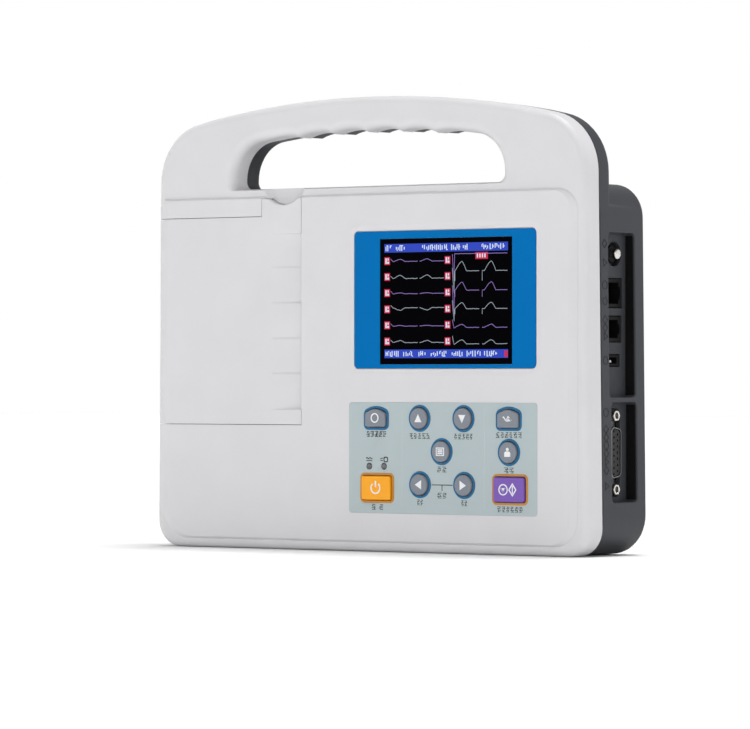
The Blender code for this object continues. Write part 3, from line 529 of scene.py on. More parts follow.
def room(node):
    """A node's ranges of x, depth and z."""
    low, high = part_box(node)
    return (low.x, high.x), (low.y - FRONT_Y, high.y - FRONT_Y), (low.z, high.z)


def extent(node):
    """A node's ranges of x and z, as seen from the front."""
    x, _, z = room(node)
    return x, z


def disc(node):
    """Centre and radius of a round node, as seen from the front."""
    x, z = extent(node)
    return (mid(x), mid(z)), (x[1] - x[0]) / 2


# --- Materials --------------------------------------------------------------------------------


def new_shader(name, colour, roughness, metallic=0.0, specular=0.5):
    material = bpy.data.materials.new(name)
    material.use_nodes = True
    tree = material.node_tree
    shader = tree.nodes["Principled BSDF"]
    shader.inputs["Base Color"].default_value = (*colour, 1.0)
    shader.inputs["Roughness"].default_value = roughness
    shader.inputs["Metallic"].default_value = metallic
    shader.inputs["Specular IOR Level"].default_value = specular
    return material, tree, shader


def texture(tree, kind, scale, stretch=(1.0, 1.0, 1.0), **settings):
    """Texture node in the object's own metres, stretched along its axes."""
    place = tree.nodes.new("ShaderNodeTexCoord")
    mapping = tree.nodes.new("ShaderNodeMapping")
    mapping.inputs["Scale"].default_value = stretch
    node = tree.nodes.new(kind)
    node.inputs["Scale"].default_value = scale
    for key, value in settings.items():
        node.inputs[key.replace("_", " ")].default_value = value
    tree.links.new(place.outputs["Object"], mapping.inputs["Vector"])
    tree.links.new(mapping.outputs["Vector"], node.inputs["Vector"])
    return node


def mapping_of(node):
    return node.inputs["Vector"].links[0].from_node


def bump(tree, shader, heights):
    """Chain bumps: heights holds (texture output, distance in metres)."""
    normal = None
    for output, distance in heights:
        node = tree.nodes.new("ShaderNodeBump")
        node.inputs["Distance"].default_value = distance
        tree.links.new(output, node.inputs["Height"])
        if normal:
            tree.links.new(normal, node.inputs["Normal"])
        normal = node.outputs["Normal"]
    tree.links.new(normal, shader.inputs["Normal"])


def vary(tree, target, output, low, high):
    """Drive a number from a texture between two values."""
    ranged = tree.nodes.new("ShaderNodeMapRange")
    ranged.inputs["From Min"].default_value = 0.3
    ranged.inputs["From Max"].default_value = 0.7
    ranged.inputs["To Min"].default_value = low
    ranged.inputs["To Max"].default_value = high
    tree.links.new(output, ranged.inputs["Value"])
    tree.links.new(ranged.outputs["Result"], target)


def tint(tree, shader, output, low, high, from_min=0.3, from_max=0.7):
    """Drive the base colour from a texture between two colours."""
    ramp = tree.nodes.new("ShaderNodeValToRGB")
    ramp.color_ramp.elements[0].position = from_min
    ramp.color_ramp.elements[0].color = (*low, 1.0)
    ramp.color_ramp.elements[1].position = from_max
    ramp.color_ramp.elements[1].color = (*high, 1.0)
    tree.links.new(output, ramp.inputs["Fac"])
    tree.links.new(ramp.outputs["Color"], shader.inputs["Base Color"])


def shade(colour, factor):
    return tuple(min(1.0, c * factor) for c in colour)


def plastic(name, colour, roughness=0.45, grain=0.000012, scale=3200.0, mottle=0.02, specular=0.5):
    """Moulded plastic: eroded texture from its tool, and a faint unevenness of colour and gloss."""
    material, tree, shader = new_shader(name, colour, roughness, specular=specular)
    fine = texture(tree, "ShaderNodeTexNoise", scale, Detail=3.0, Roughness=0.6)
    broad = texture(tree, "ShaderNodeTexNoise", 38.0, Detail=4.0)
    bump(tree, shader, [(fine.outputs["Fac"], grain), (broad.outputs["Fac"], 0.00004)])
    tint(tree, shader, broad.outputs["Fac"], shade(colour, 1 - mottle), shade(colour, 1 + mottle))
    vary(tree, shader.inputs["Roughness"], broad.outputs["Fac"], roughness - 0.04, roughness + 0.05)
    return material


def metal(name, colour, roughness, stretch=(1.0, 1.0, 30.0)):
    """Plated or brushed metal, with fine lines along the axis that is stretched least."""
    material, tree, shader = new_shader(name, colour, roughness, metallic=1.0)
    lines = texture(tree, "ShaderNodeTexNoise", 900.0, stretch, Detail=4.0)
    cloud = texture(tree, "ShaderNodeTexNoise", 260.0, Detail=3.0)
    bump(tree, shader, [(lines.outputs["Fac"], 0.000006)])
    tint(tree, shader, cloud.outputs["Fac"], shade(colour, 0.9), shade(colour, 1.06))
    vary(tree, shader.inputs["Roughness"], lines.outputs["Fac"], roughness * 0.75, roughness * 1.35)
    return material


def rubber(name, colour):
    material, tree, shader = new_shader(name, colour, 0.85, specular=0.3)
    fine = texture(tree, "ShaderNodeTexNoise", 2600.0, Detail=5.0, Roughness=0.7)
    dust = texture(tree, "ShaderNodeTexNoise", 300.0, Detail=5.0)
    bump(tree, shader, [(fine.outputs["Fac"], 0.00003)])
    tint(tree, shader, dust.outputs["Fac"], shade(colour, 0.8), shade(colour, 1.5))
    return material


def circuit_board(name):
    """Solder mask over copper tracks, with paler tracks and round vias."""
    material, tree, shader = new_shader(name, (0.01, 0.12, 0.05), 0.35)
    tracks = texture(
        tree, "ShaderNodeTexBrick", 160.0, Mortar_Size=0.05, Color1=(0.006, 0.085, 0.035, 1.0),
        Color2=(0.010, 0.115, 0.048, 1.0), Mortar=(0.03, 0.22, 0.08, 1.0),
    )
    mapping_of(tracks).inputs["Rotation"].default_value = (math.pi / 2, 0.0, 0.0)
    tree.links.new(tracks.outputs["Color"], shader.inputs["Base Color"])
    bump(tree, shader, [(tracks.outputs["Fac"], 0.00003)])
    return material


def chart_paper(name):
    """Thermal paper: fine fibres, and the edges of its layers as rings."""
    material, tree, shader = new_shader(name, (0.84, 0.80, 0.78), 0.75, specular=0.25)
    fibre = texture(tree, "ShaderNodeTexNoise", 2200.0, Detail=6.0, Roughness=0.7)
    layers = texture(tree, "ShaderNodeTexWave", 900.0, Distortion=1.0)
    layers.wave_type = "RINGS"
    layers.rings_direction = "Z"
    low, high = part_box("paper_roll")
    middle = (low + high) / 2
    mapping_of(layers).inputs["Location"].default_value = (-middle.x, -middle.y, 0.0)
    tint(tree, shader, layers.outputs["Fac"], (0.74, 0.68, 0.66), (0.88, 0.85, 0.83), 0.1, 0.6)
    bump(tree, shader, [(fibre.outputs["Fac"], 0.00001), (layers.outputs["Fac"], 0.00002)])
    return material


def glow(name, colour, strength):
    """Lit part of the display, seen through its satin film."""
    material, tree, shader = new_shader(name, (0.0, 0.0, 0.0), 0.35, specular=0.15)
    shader.inputs["Emission Color"].default_value = (*colour, 1.0)
    pixels = texture(tree, "ShaderNodeTexChecker", 4300.0)
    vary(tree, shader.inputs["Emission Strength"], pixels.outputs["Fac"], strength * 0.85, strength)
    return material


WHITE = plastic("white_plastic", (0.662, 0.654, 0.670), 0.48, 0.000009, specular=0.35)
GREY = plastic("grey_plastic", (0.034, 0.0365, 0.0430), 0.55, 0.000016, 2600.0, 0.06, 0.4)
# Darker copy of the grey plastic for the raised side signs: painted shade, not a colour of their
# own.
GREY_RELIEF_PAINTED_SHADE = plastic("grey_relief_painted_shade", (0.009, 0.0095, 0.011), 0.55, 0.000016, 2600.0, 0.06, 0.3)
BLACK = plastic("black_plastic", (0.010, 0.010, 0.011), 0.45, 0.000008, mottle=0.1)
SOCKET_BLACK = plastic("socket_plastic", (0.004, 0.004, 0.005), 0.55, 0.000006, 3200.0, 0.1, 0.2)
BEZEL_BLUE = plastic("bezel_film", (0.0, 0.150, 0.44), 0.5, 0.000004, 6000.0, 0.02, 0.03)
RING_BLUE = plastic("ring_blue", (0.004, 0.130, 0.290), 0.4, 0.000004, 6000.0, 0.02, 0.3)
RING_ORANGE = plastic("ring_orange", (0.56, 0.225, 0.020), 0.4, 0.000004, 6000.0, 0.02, 0.3)
OVERLAY = plastic("overlay_film", (0.425, 0.50, 0.515), 0.4, 0.000008, 5200.0, 0.015, 0.35)
OVERLAY_LIGHT = plastic(
    "overlay_light_print", (0.475, 0.54, 0.55), 0.4, 0.000008, 5200.0, 0.01, 0.35
)
PRINT_DARK = plastic("dark_print", (0.012, 0.014, 0.018), 0.45, 0.000004, 5200.0, 0.05, 0.3)
PRINT_WHITE = plastic("white_print", (0.82, 0.83, 0.85), 0.45, 0.000004, 5200.0, 0.01, 0.3)
KEY_GREY = plastic("key_grey", (0.205, 0.225, 0.262), 0.42, 0.000008, 4200.0, 0.03, 0.4)
KEY_ORANGE = plastic("key_orange", (0.95, 0.385, 0.0005), 0.4, 0.000008, 4200.0, 0.02, 0.35)
KEY_PURPLE = plastic("key_purple", (0.185, 0.088, 0.44), 0.4, 0.000008, 4200.0, 0.03, 0.35)
LENS = plastic("lens_smoke", (0.11, 0.12, 0.12), 0.2, 0.000002, mottle=0.05)
WINDOW = plastic("window_film", (0.0006, 0.0005, 0.0012), 0.3, 0.000002, 6000.0, 0.1, 0.008)
NICKEL = metal("nickel_plate", (0.72, 0.69, 0.66), 0.24)
TIN = metal("tin_plate", (0.27, 0.27, 0.28), 0.4)
ZINC = metal("zinc_plate", (0.60, 0.60, 0.61), 0.34)
GROUND_STEEL = metal("ground_steel", (0.66, 0.66, 0.67), 0.2, (30.0, 30.0, 1.0))
BRASS = metal("brass", (0.72, 0.53, 0.24), 0.28)
GOLD = metal("gold_contacts", (0.85, 0.60, 0.25), 0.25)
PLATEN_RUBBER = rubber("platen_rubber", (0.018, 0.018, 0.019))
FOOT_RUBBER = rubber("foot_rubber", (0.022, 0.022, 0.023))
BOARD = circuit_board("solder_mask")
PAPER = chart_paper("thermal_paper")
ACETAL = plastic("acetal", (0.74, 0.74, 0.71), 0.38, 0.000006)
FRAME_GREY = plastic("glass_filled_plastic", (0.17, 0.175, 0.185), 0.6, 0.00002, 1500.0, 0.08)
CERAMIC = plastic("glazed_ceramic", (0.50, 0.43, 0.34), 0.2, 0.000002)
FLAT_CABLE = plastic("flat_cable", (0.70, 0.66, 0.56), 0.4, 0.000004)
BATTERY_WRAP = plastic("battery_wrap", (0.02, 0.09, 0.27), 0.3, 0.00002, 700.0)
LCD_BLUE = glow("lcd_blue", (0.020, 0.062, 0.60), 0.9)
LCD_RED = glow("lcd_red", (0.60, 0.012, 0.060), 1.0)
LCD_WHITE = glow("lcd_white", (0.70, 0.80, 0.95), 1.0)
LCD_LILAC = glow("lcd_lilac", (0.33, 0.22, 0.62), 0.9)
LCD_PALE = glow("lcd_pale", (0.42, 0.50, 0.55), 0.9)

# --- Front shell and paper door ---------------------------------------------------------------

# Rings of the raised front: how much of its height each lies down, and how far up its edge.
RAISED_RINGS = ((1.0, 0.0), (0.90, 0.04), (0.5, 0.44), (0.18, 0.76), (0.07, 0.87), (0.02, 0.94),
                (0.0, 1.0))


def front_solid(name):
    """Outer form of the front half: rim, handle and raised front."""
    back = [(PARTING, shell_outline(PARTING_EDGE)), (PARTING - PARTING_EDGE, shell_outline())]
    depths = [0.0092, 0.0080, 0.0070, 0.0062]
    depths += [STEP + short for short, _ in quarter(FRONT_FILLET, 8)]
    body = loft(name, back + [(depth, front_ring(depth)) for depth in depths])
    foot = [(-0.001, 0.0009), (0.0, 0.0006), (0.00007, 0.0003), (0.0001, 0.0)]
    cut(body, loft("foot_line", [(STEP + sunk, foot_outline(grow)) for sunk, grow in foot]))
    rings = [(0.0055, raised_outline(0.0)), (STEP + 0.0006, raised_outline(0.0))]
    rings += [(STEP * level + 1e-6, raised_outline(t)) for level, t in RAISED_RINGS]
    cavity = prism("cavity", shell_outline(WALL), (STEP + WALL, PARTING + 0.001))
    cut(cavity, prism("tube", opening_outline(WALL, ridges=False), (0.0, PARTING + 0.002)))
    inner = [(x * 0.975, mix(0.0845, z, 0.955)) for x, z in raised_outline(1.0)]
    shallow = prism("shallow_cavity", inner, (WALL, STEP + WALL + 0.001))
    fuse(body, loft("raised", rings))
    return cut(body, cavity, shallow)


def scoop_cutter():
    """Dish for a finger above the door's free end."""
    dish = [(-0.0015, 1.10), (STEP - 0.0004, 1.06), (STEP, 1.02), (0.0022, 0.97), (0.0030, 0.90)]
    dish += [(0.0037, 0.79), (0.0042, 0.64), (0.0045, 0.45), (0.0046, 0.20)]
    rings = [(depth, circle(SCOOP, SCOOP_RADIUS * share, 64)) for depth, share in dish]
    return loft("scoop", rings)


def hinge_barrel(z):
    """Bead round the door's hinge line, cut off where it would leave the shell's edge."""
    bead = rod("barrel", (HINGE_X, HINGE_DEPTH), HINGE_BARREL, z, "Z")
    bounds = prism("bounds", shell_outline(0.0001), (PAST_FRONT, 0.030))
    return combine(bead, "INTERSECT", [bounds])


def build_front_shell():
    shell = front_solid("front_shell_skin")
    for z in ((0.0520, DOOR_BOTTOM - 0.0002), (DOOR_TOP + 0.0002, 0.1620)):
        fuse(shell, hinge_barrel(z))
    rings = [(PAST_FRONT, -DOOR_FLARE), (0.0, -DOOR_FLARE), (DOOR_FLARE, 0.0)]
    rings.append((PARTING + 0.002, 0.0))
    cut(shell, loft("door_hole", [(depth, door_outline(gap)) for depth, gap in rings]))
    rings = [(PARTING + 0.001, opening_outline())]
    rings += flared(STEP, 0.0048, lambda g: opening_outline(g, g * 0.18), PARTING, 9)
    cut(shell, loft("opening", rings))
    backing = rod("scoop_back", SCOOP, SCOOP_RADIUS - 0.0002, (0.0033, 0.0072), "Y", 64)
    below = block("below_opening", (-0.0620, -0.0300), (0.0, 0.0090), (0.1580, 0.1683))
    fuse(shell, combine(backing, "INTERSECT", [below]))
    cut(shell, scoop_cutter())
    cut(shell, display_recess(), keypad_recess(), window_hole())
    span = (0.0, 0.004)
    cutters = [prism("key_hole", key_outline(name, 0.0005), span) for name in KEYS]
    for name in LEDS:
        middle, radius = disc(name)
        cutters.append(rod("led_hole", middle, radius + SEAM, span, "Y"))
    slot_x = (DOOR_RIGHT - 0.001, -0.0338)
    cutters.append(block("tear_slot", slot_x, (0.0010, 0.0070), (0.0666, 0.1466)))
    cut(shell, *cutters)
    dress(shell, WHITE, "root", "shell_white", "front_shell")


def build_paper_door():
    door = front_solid("paper_door_skin")
    rings = [(PAST_FRONT, DOOR_FLARE), (0.0, DOOR_FLARE), (DOOR_FLARE, 0.0), (HINGE_DEPTH, 0.0)]
    bounds = loft("bounds", [(depth, door_outline(DOOR_GAP + gap)) for depth, gap in rings])
    combine(door, "INTERSECT", [bounds])
    barrel = hinge_barrel((DOOR_BOTTOM + SEAM + 0.0002, DOOR_TOP - SEAM - 0.0002))
    chute_back = block("chute_back", (-0.0510, -0.03535), (0.0020, 0.0036), (0.0630, 0.1516))
    fuse(door, barrel, chute_back)
    x, depth, _ = room("platen_shaft")
    platen = (mid(x), mid(depth))
    left, right = around(platen[0], 0.0040)
    arm = rounded([(left, 0.0020, 0.0), (right, 0.0020, 0.0),
                   (right, 0.0128, 0.0036), (left, 0.0128, 0.0036)])
    for span in ((0.0628, 0.0652), (0.1508, 0.1532)):
        fuse(door, prism("arm", arm, span, "Z"))
    chute = [(-0.0540, -0.0020), (-0.0535, 0.0), (-0.0500, 0.00025), (-0.0340, 0.0023),
             (-0.0340, -0.0020)]
    cutters = [prism("chute", chute, CHUTE, "Z")]
    cutters += [groove(z) for z in CHUTE_GROOVES]
    cutters.append(scoop_notch())
    cutters.append(rod("shaft_bore", platen, 0.0023, (0.0600, 0.1545), "Z"))
    cutters.append(rod("hinge_bore", (HINGE_X, HINGE_DEPTH), 0.0011, (0.050, 0.164), "Z", 24))
    cut(door, *cutters)
    dress(door, WHITE, "paper_door", "shell_white", "paper_door")


def groove(z):
    """Groove across the paper chute that deepens towards the slot, to let paper slide."""
    loop = [(-0.0520, -0.0010), (-0.0520, 0.00022), (-0.0358, 0.00262), (-0.0358, -0.0010)]
    return prism("groove", loop, around(z, 0.00022), "Z")


def scoop_notch():
    """Round notch in the door's tab, with a rounded rim."""
    return mouth("notch", lambda g: circle(SCOOP, SCOOP_RADIUS + g), 0.0, 0.0080, 0.0009, steps=5)


# --- Display and keypad -----------------------------------------------------------------------

DISPLAY_X, DISPLAY_Z = extent("display_bezel")
WINDOW_X, WINDOW_Z = extent("display_window")
KEYPAD_X, KEYPAD_Z = extent("keypad_overlay")


def display_recess():
    """Shallow dish round the display, and the straight recess that holds its bezel."""
    corner = 0.0023
    rings = [(0.0012, rounded_box(grown(DISPLAY_X, SEAM), grown(DISPLAY_Z, SEAM), corner))]
    dish = ((0.00035, SEAM), (0.00030, 0.0012), (0.00018, 0.0024), (0.0, 0.0036), (-0.001, 0.0044))
    for depth, margin in dish:
        u, v = grown(DISPLAY_X, margin), grown(DISPLAY_Z, margin)
        rings.append((depth, rounded_box(u, v, corner + margin)))
    return loft("display_recess", rings)


def window_hole():
    loop = rounded_box(grown(WINDOW_X, -0.0016), grown(WINDOW_Z, -0.0016), 0.0005)
    return prism("window_hole", loop, (-0.001, 0.005))


def keypad_recess():
    u, v = grown(KEYPAD_X, FILM_GAP), grown(KEYPAD_Z, FILM_GAP)
    loop = rounded_box(u, v, FILM_CORNER + FILM_GAP)
    return prism("keypad_recess", loop, (-0.001, 0.0009))


def key_outline(name, grow=0.0):
    """Outside of a key's cap: round, arched or wide."""
    x, z = extent(name)
    u, v = grown(x, grow - KEY_FLANGE), grown(z, grow - KEY_FLANGE)
    middle = mid(u)
    radius = max(0.0010 + grow, 0.0002)
    if name in WIDE_KEYS:
        return rounded_box(u, v, radius)
    if name not in ARCHED_KEYS:
        return circle((middle, mid(v)), (u[1] - u[0]) / 2, 56)
    shoulder = radius + 0.0006
    corners = [(u[0], v[0], radius), (u[1], v[0], radius), (u[1], v[1] - KEY_ARCH, shoulder)]
    steps = 12
    for k in range(1, steps):
        share = 1 - 2 * k / steps
        reach = (u[1] - middle) * share * 0.82
        corners.append((middle + reach, v[1] - KEY_ARCH * 0.85 * share * share, 0.0))
    corners.append((u[0], v[1] - KEY_ARCH, shoulder))
    return rounded(corners)


def build_display():
    across = (WINDOW_X[0] - 0.0005, WINDOW_X[1] + 0.0003)
    upright = (WINDOW_Z[0] - 0.0006, WINDOW_Z[1])
    front, back = 0.0003, 0.0009

    def edge(inset):
        return rounded_box(grown(DISPLAY_X, -inset), grown(DISPLAY_Z, -inset), 0.0020 - inset)

    def pane_edge(inset):
        return rounded_box(grown(across, -inset), grown(upright, -inset), 0.0004)

    bezel = capped("bezel_film", edge, back, front, 0.00015)
    cut(bezel, prism("view", pane_edge(0.0), (0.0, 0.002)))
    dress(bezel, BEZEL_BLUE, "root", "bezel_blue", "display_bezel")
    rings = [(back, 0.0001), (front + 0.00005, 0.0001), (front, 0.00015)]
    pane = loft("window_pane", [(depth, pane_edge(inset)) for depth, inset in rings])
    dress(pane, WINDOW, "root", "window_glass", "display_window")
    build_picture(front)


BAR_HEIGHT = 0.075
BAR_TOPS = (0.0, 0.925)
WORD_SPANS = (
    ((0.010, 0.060), (0.095, 0.175), (0.31, 0.52), (0.545, 0.62), (0.64, 0.69), (0.79, 0.985)),
    ((0.010, 0.12), (0.155, 0.23), (0.28, 0.35), (0.38, 0.52), (0.55, 0.645), (0.67, 0.785),
     (0.81, 0.92)),
)
# Each row of traces: its level down from the picture's top, how far the waves rise in its left
# and right columns, how deep its spikes drop, and how far down its left and right traces lie.
ROWS = (
    (0.149, 0.020, 0.0, 0.0, 0.006, -0.053),
    (0.288, 0.030, 0.085, 0.085, 0.016, -0.042),
    (0.429, 0.008, 0.072, 0.058, 0.008, -0.016),
    (0.572, -0.022, 0.056, 0.046, -0.012, 0.002),
    (0.712, 0.006, 0.028, 0.0, 0.008, 0.024),
    (0.854, 0.018, 0.036, 0.0, 0.010, 0.024),
)
# Where the spike between the columns starts and ends, in the rows where it's a long one.
LONG_SPIKES = {0: (0.10, 0.33), 1: (0.22, 0.44), 2: (0.37, 0.62), 3: (0.50, 0.68)}


def build_picture(front):
    """What the display shows: two columns of traces, with plain blocks in place of words."""
    left, right = WINDOW_X[0] + 0.0021, WINDOW_X[1] - 0.0020
    low, high = WINDOW_Z[0] + 0.0023, WINDOW_Z[1] - 0.0024
    wide, tall = right - left, high - low

    def at(u, v):
        return (left + wide * u, high - tall * v)

    def cell(u, v, width, height):
        x, z = at(u, v)
        return rectangle((x, x + wide * width), (z, z - tall * height))

    def show(name, loops, material, layer):
        lift = front - 0.00002 * layer
        piece = plate(name, loops, (lift - 0.00002, lift))
        dress(piece, material, "root", "window_glass")

    show("display_bars", [cell(0.0, v, 1.0, BAR_HEIGHT) for v in BAR_TOPS], LCD_BLUE, 1)
    labels = [cell(0.740, 0.085, 0.100, 0.060), cell(0.972, 0.936, 0.026, 0.056)]
    marks = [cell(0.752 + 0.020 * k, 0.098, 0.010, 0.034) for k in range(4)]
    for v, *_ in ROWS:
        for u in (0.0, 0.493):
            labels.append(cell(u, v - 0.034, 0.046, 0.068))
            marks.append(cell(u + 0.008, v - 0.024, 0.012, 0.048))
            marks.append(cell(u + 0.026, v - 0.024, 0.010, 0.020))
            marks.append(cell(u + 0.023, v + 0.005, 0.016, 0.019))
    words = random.Random(7)
    for top, spans in zip(BAR_TOPS, WORD_SPANS):
        for start, stop in spans:
            marks += word_blocks(cell, words, top, start, stop)
    show("display_labels", labels, LCD_RED, 2)
    show("display_marks", marks, LCD_WHITE, 3)
    for first, (colour, material) in enumerate((("lilac", LCD_LILAC), ("pale", LCD_PALE))):
        tracks = []
        for row in range(first, len(ROWS), 2):
            tracks += [[at(u, v) for u, v in path] for path in traces(row)]
        drawn("display_traces_" + colour, tracks, front - 0.00005, material)


def word_blocks(cell, words, top, start, stop):
    """Upright blocks of uneven height, some with a short arm, standing for one word on a bar."""
    blocks = []
    u = start
    while u < stop - 0.010:
        height = words.choice((0.024, 0.038, 0.050))
        blocks.append(cell(u, top + 0.012 + (0.050 - height) * words.random(), 0.0075, height))
        if words.random() < 0.5:
            level = top + 0.012 + words.choice((0.0, 0.020, 0.042))
            blocks.append(cell(u + 0.0076, level, 0.0070, 0.008))
        u += words.choice((0.0148, 0.0148, 0.0200))
    return blocks


def wave(u, peak, rise):
    """Height of one rounded beat: a slow climb to its peak and a faster fall."""
    reach = (u - peak) / (0.055 if u < peak else 0.035)
    return rise * max(0.0, 1.0 - abs(reach) ** 1.4)


def traces(row):
    """Polylines (u, v) of one row: two on the left, two on the right, and a spike between."""
    level, calm, tall, spike, left_shift, right_shift = ROWS[row]
    noise = random.Random(row)

    def shake():
        return noise.uniform(-0.0015, 0.0015)

    lines = []
    steps = 22
    for start, stop, peak in ((0.052, 0.272, 0.132), (0.290, 0.487, 0.352)):
        path = []
        for k in range(steps + 1):
            u = mix(start, stop, k / steps)
            height = wave(u, peak, calm) + shake()
            if start < 0.1 and k < 2:
                height += 0.022 * (1 - k / 2)
            path.append((u, level + left_shift - height))
        lines.append(path)
    base = level + right_shift
    steps = 24
    for start, stop, peak in ((0.575, 0.770, 0.632), (0.795, 0.995, 0.868)):
        path = [(start, base + spike)] if spike else []
        for k in range(steps + 1):
            u = mix(start, stop, k / steps)
            path.append((u, base - wave(u, peak, tall) + shake()))
        lines.append(path)
    top, bottom = LONG_SPIKES.get(row, (level - 0.045, level + 0.03))
    lines.append([(0.555, top), (0.561, (top + bottom) / 2), (0.569, bottom), (0.573, base)])
    return lines


def drawn(name, paths, depth, material):
    """Fine raised lines along paths on the display."""
    curve = bpy.data.curves.new(name, "CURVE")
    curve.dimensions = "3D"
    curve.bevel_depth = 0.00013
    curve.bevel_resolution = 0
    curve.use_fill_caps = True
    for path in paths:
        spline = curve.splines.new("POLY")
        spline.points.add(len(path) - 1)
        for point, (x, z) in zip(spline.points, path):
            point.co = (x, FRONT_Y + depth, z, 1.0)
    curve.materials.append(material)
    piece = link(name, curve)
    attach(piece, "root")


def build_keypad():
    holes = [key_outline(name, SEAM) for name in KEYS]
    for name in LEDS:
        centre, radius = disc(name)
        holes.append(circle(centre, radius + SEAM, 28))
    film = [rounded_box(KEYPAD_X, KEYPAD_Z, FILM_CORNER), *holes]
    overlay = plate("overlay_film", film, (0.0, 0.0006))
    dress(overlay, OVERLAY, "root", "keypad_grey", "keypad_overlay")
    narrow = [name for name in KEYS if name not in WIDE_KEYS]
    for names, label, colour in (
        (narrow, "ring_blue", RING_BLUE), (WIDE_KEYS, "ring_orange", RING_ORANGE)
    ):
        rings = [key_ring(name) for name in names]
        dress(joined(label, rings), colour, "root", "keypad_grey")
    build_overlay_print()
    for name in KEYS:
        build_key(name)
    for name in LEDS:
        (x, z), radius = disc(name)
        profile = [(0.0, 0.0061), (radius, 0.0061), (radius, 0.0001), (radius * 0.8, -0.00015),
                   (0.0, -0.00028)]
        dome = turned(name + "_dome", profile, (x, 0.0, z), "Y", 32)
        dress(dome, LENS, "root", "led_lens", name)


def key_ring(name):
    """Raised band round a key."""

    def outer(inset):
        return key_outline(name, RING_WIDTH - inset)

    def inner(grow):
        return key_outline(name, 0.00040 + grow)

    band = capped(name + "_ring", outer, 0.0004, RING_TOP, -RING_TOP, steps=4)
    return cut(band, mouth("ring_hole", inner, RING_TOP, 0.002, 0.0002))


# How many marks stand for each key's name, and how wide the whole row is.
LABELS = {
    "key_mode": (5, 0.0119),
    "key_up": (5, 0.0119),
    "key_down": (5, 0.0111),
    "key_back": (6, 0.0148),
    "key_menu": (2, 0.0060),
    "key_patient": (2, 0.0060),
    "key_left": (2, 0.0037),
    "key_right": (2, 0.0037),
    "key_power": (2, 0.0086),
    "key_start_stop": (6, 0.0146),
}


def build_overlay_print():
    """Printed on the film: dividers, the keys' labels, and signs above the two lamps."""
    dividers = [rectangle(around(x, 0.00025), (0.0205, 0.0665)) for x in (0.0242, 0.0708)]
    dress(plate("overlay_dividers", dividers, PRINT_SPAN), OVERLAY_LIGHT, "root", "keypad_grey")
    (_, start), height = extent("key_left")
    stop, z = extent("key_right")[0][0], mid(height)
    start, stop = start + 0.0006, stop - 0.0006
    middle = mid((start, stop))
    low, high = around(z, 0.00019)
    left, right = around(middle, 0.00019)
    stem = z - 0.0027
    loops = [[(start, low), (left, low), (left, stem), (right, stem),
              (right, low), (stop, low), (stop, high), (start, high)]]
    glyphs = random.Random(11)
    for name, (count, across) in LABELS.items():
        key_x, key_z = extent(name)
        loops += label_blocks(mid(key_x), key_z[0] - 0.0022, across, count, glyphs)
    loops += label_blocks(middle, z - 0.0048, 0.0060, 2, glyphs)
    mains, battery = sorted(disc(name)[0] for name in LEDS)
    x, z = mains
    swell = [(x + 0.0003 * k, z + 0.0036 + 0.00028 * math.sin(k * 1.05)) for k in range(-6, 7)]
    loops += stroke(swell, 0.00042)
    loops.append(rounded_box(around(x, 0.0017), around(z + 0.0025, 0.00018), 0.00005))
    x, z = battery[0] + 0.0005, battery[1] + 0.0031
    loops.append(rounded_box((x - 0.0007, x + 0.0019), around(z, 0.0013), 0.0009))
    loops.append(rounded_box((x - 0.0002, x + 0.0014), around(z, 0.0008), 0.0006))
    for side in (-1, 1):
        loops += stroke([(x - 0.0009, z + 0.0007 * side), (x - 0.0026, z + 0.0003 * side)], 0.00036)
    dress(plate("overlay_print", loops, PRINT_SPAN), PRINT_DARK, "root", "keypad_grey")


def label_blocks(x, z, across, count, glyphs):
    """Row of marks where a key's name would be: level bars and stems, placed at random."""
    loops = []
    pitch = across / count
    half = min(pitch * 0.43, 0.0013)
    height = LABEL_HEIGHT - PRINT_LINE
    for k in range(count):
        u = x + (k - (count - 1) / 2) * pitch
        for level in LABEL_LEVELS:
            reach = half * glyphs.uniform(0.55, 1.0)
            bar = around(u + (half - reach) * glyphs.uniform(-1.0, 1.0), reach)
            loops.append(rounded_box(bar, around(z + level * height, PRINT_LINE / 2), 0.00002))
        for low, high in zip(LABEL_LEVELS, LABEL_LEVELS[1:]):
            stem = around(u + half * glyphs.choice((-0.45, 0.0, 0.45)), PRINT_LINE / 2)
            rise = grown((z + low * height, z + high * height), -PRINT_LINE * 0.55)
            loops.append(rounded_box(stem, rise, 0.00002))
    return loops


def arc(radius, start, stop, steps):
    angles = [math.radians(mix(start, stop, k / steps)) for k in range(steps + 1)]
    return [(radius * math.cos(a), radius * math.sin(a)) for a in angles]


ARROWS = {
    "key_up": [(-1.5, -1.3), (1.5, -1.3), (0.0, 1.5)],
    "key_down": [(-1.5, 1.3), (0.0, -1.5), (1.5, 1.3)],
    "key_left": [(1.2, -1.6), (1.2, 1.6), (-1.5, 0.0)],
    "key_right": [(-1.2, -1.6), (1.5, 0.0), (-1.2, 1.6)],
}


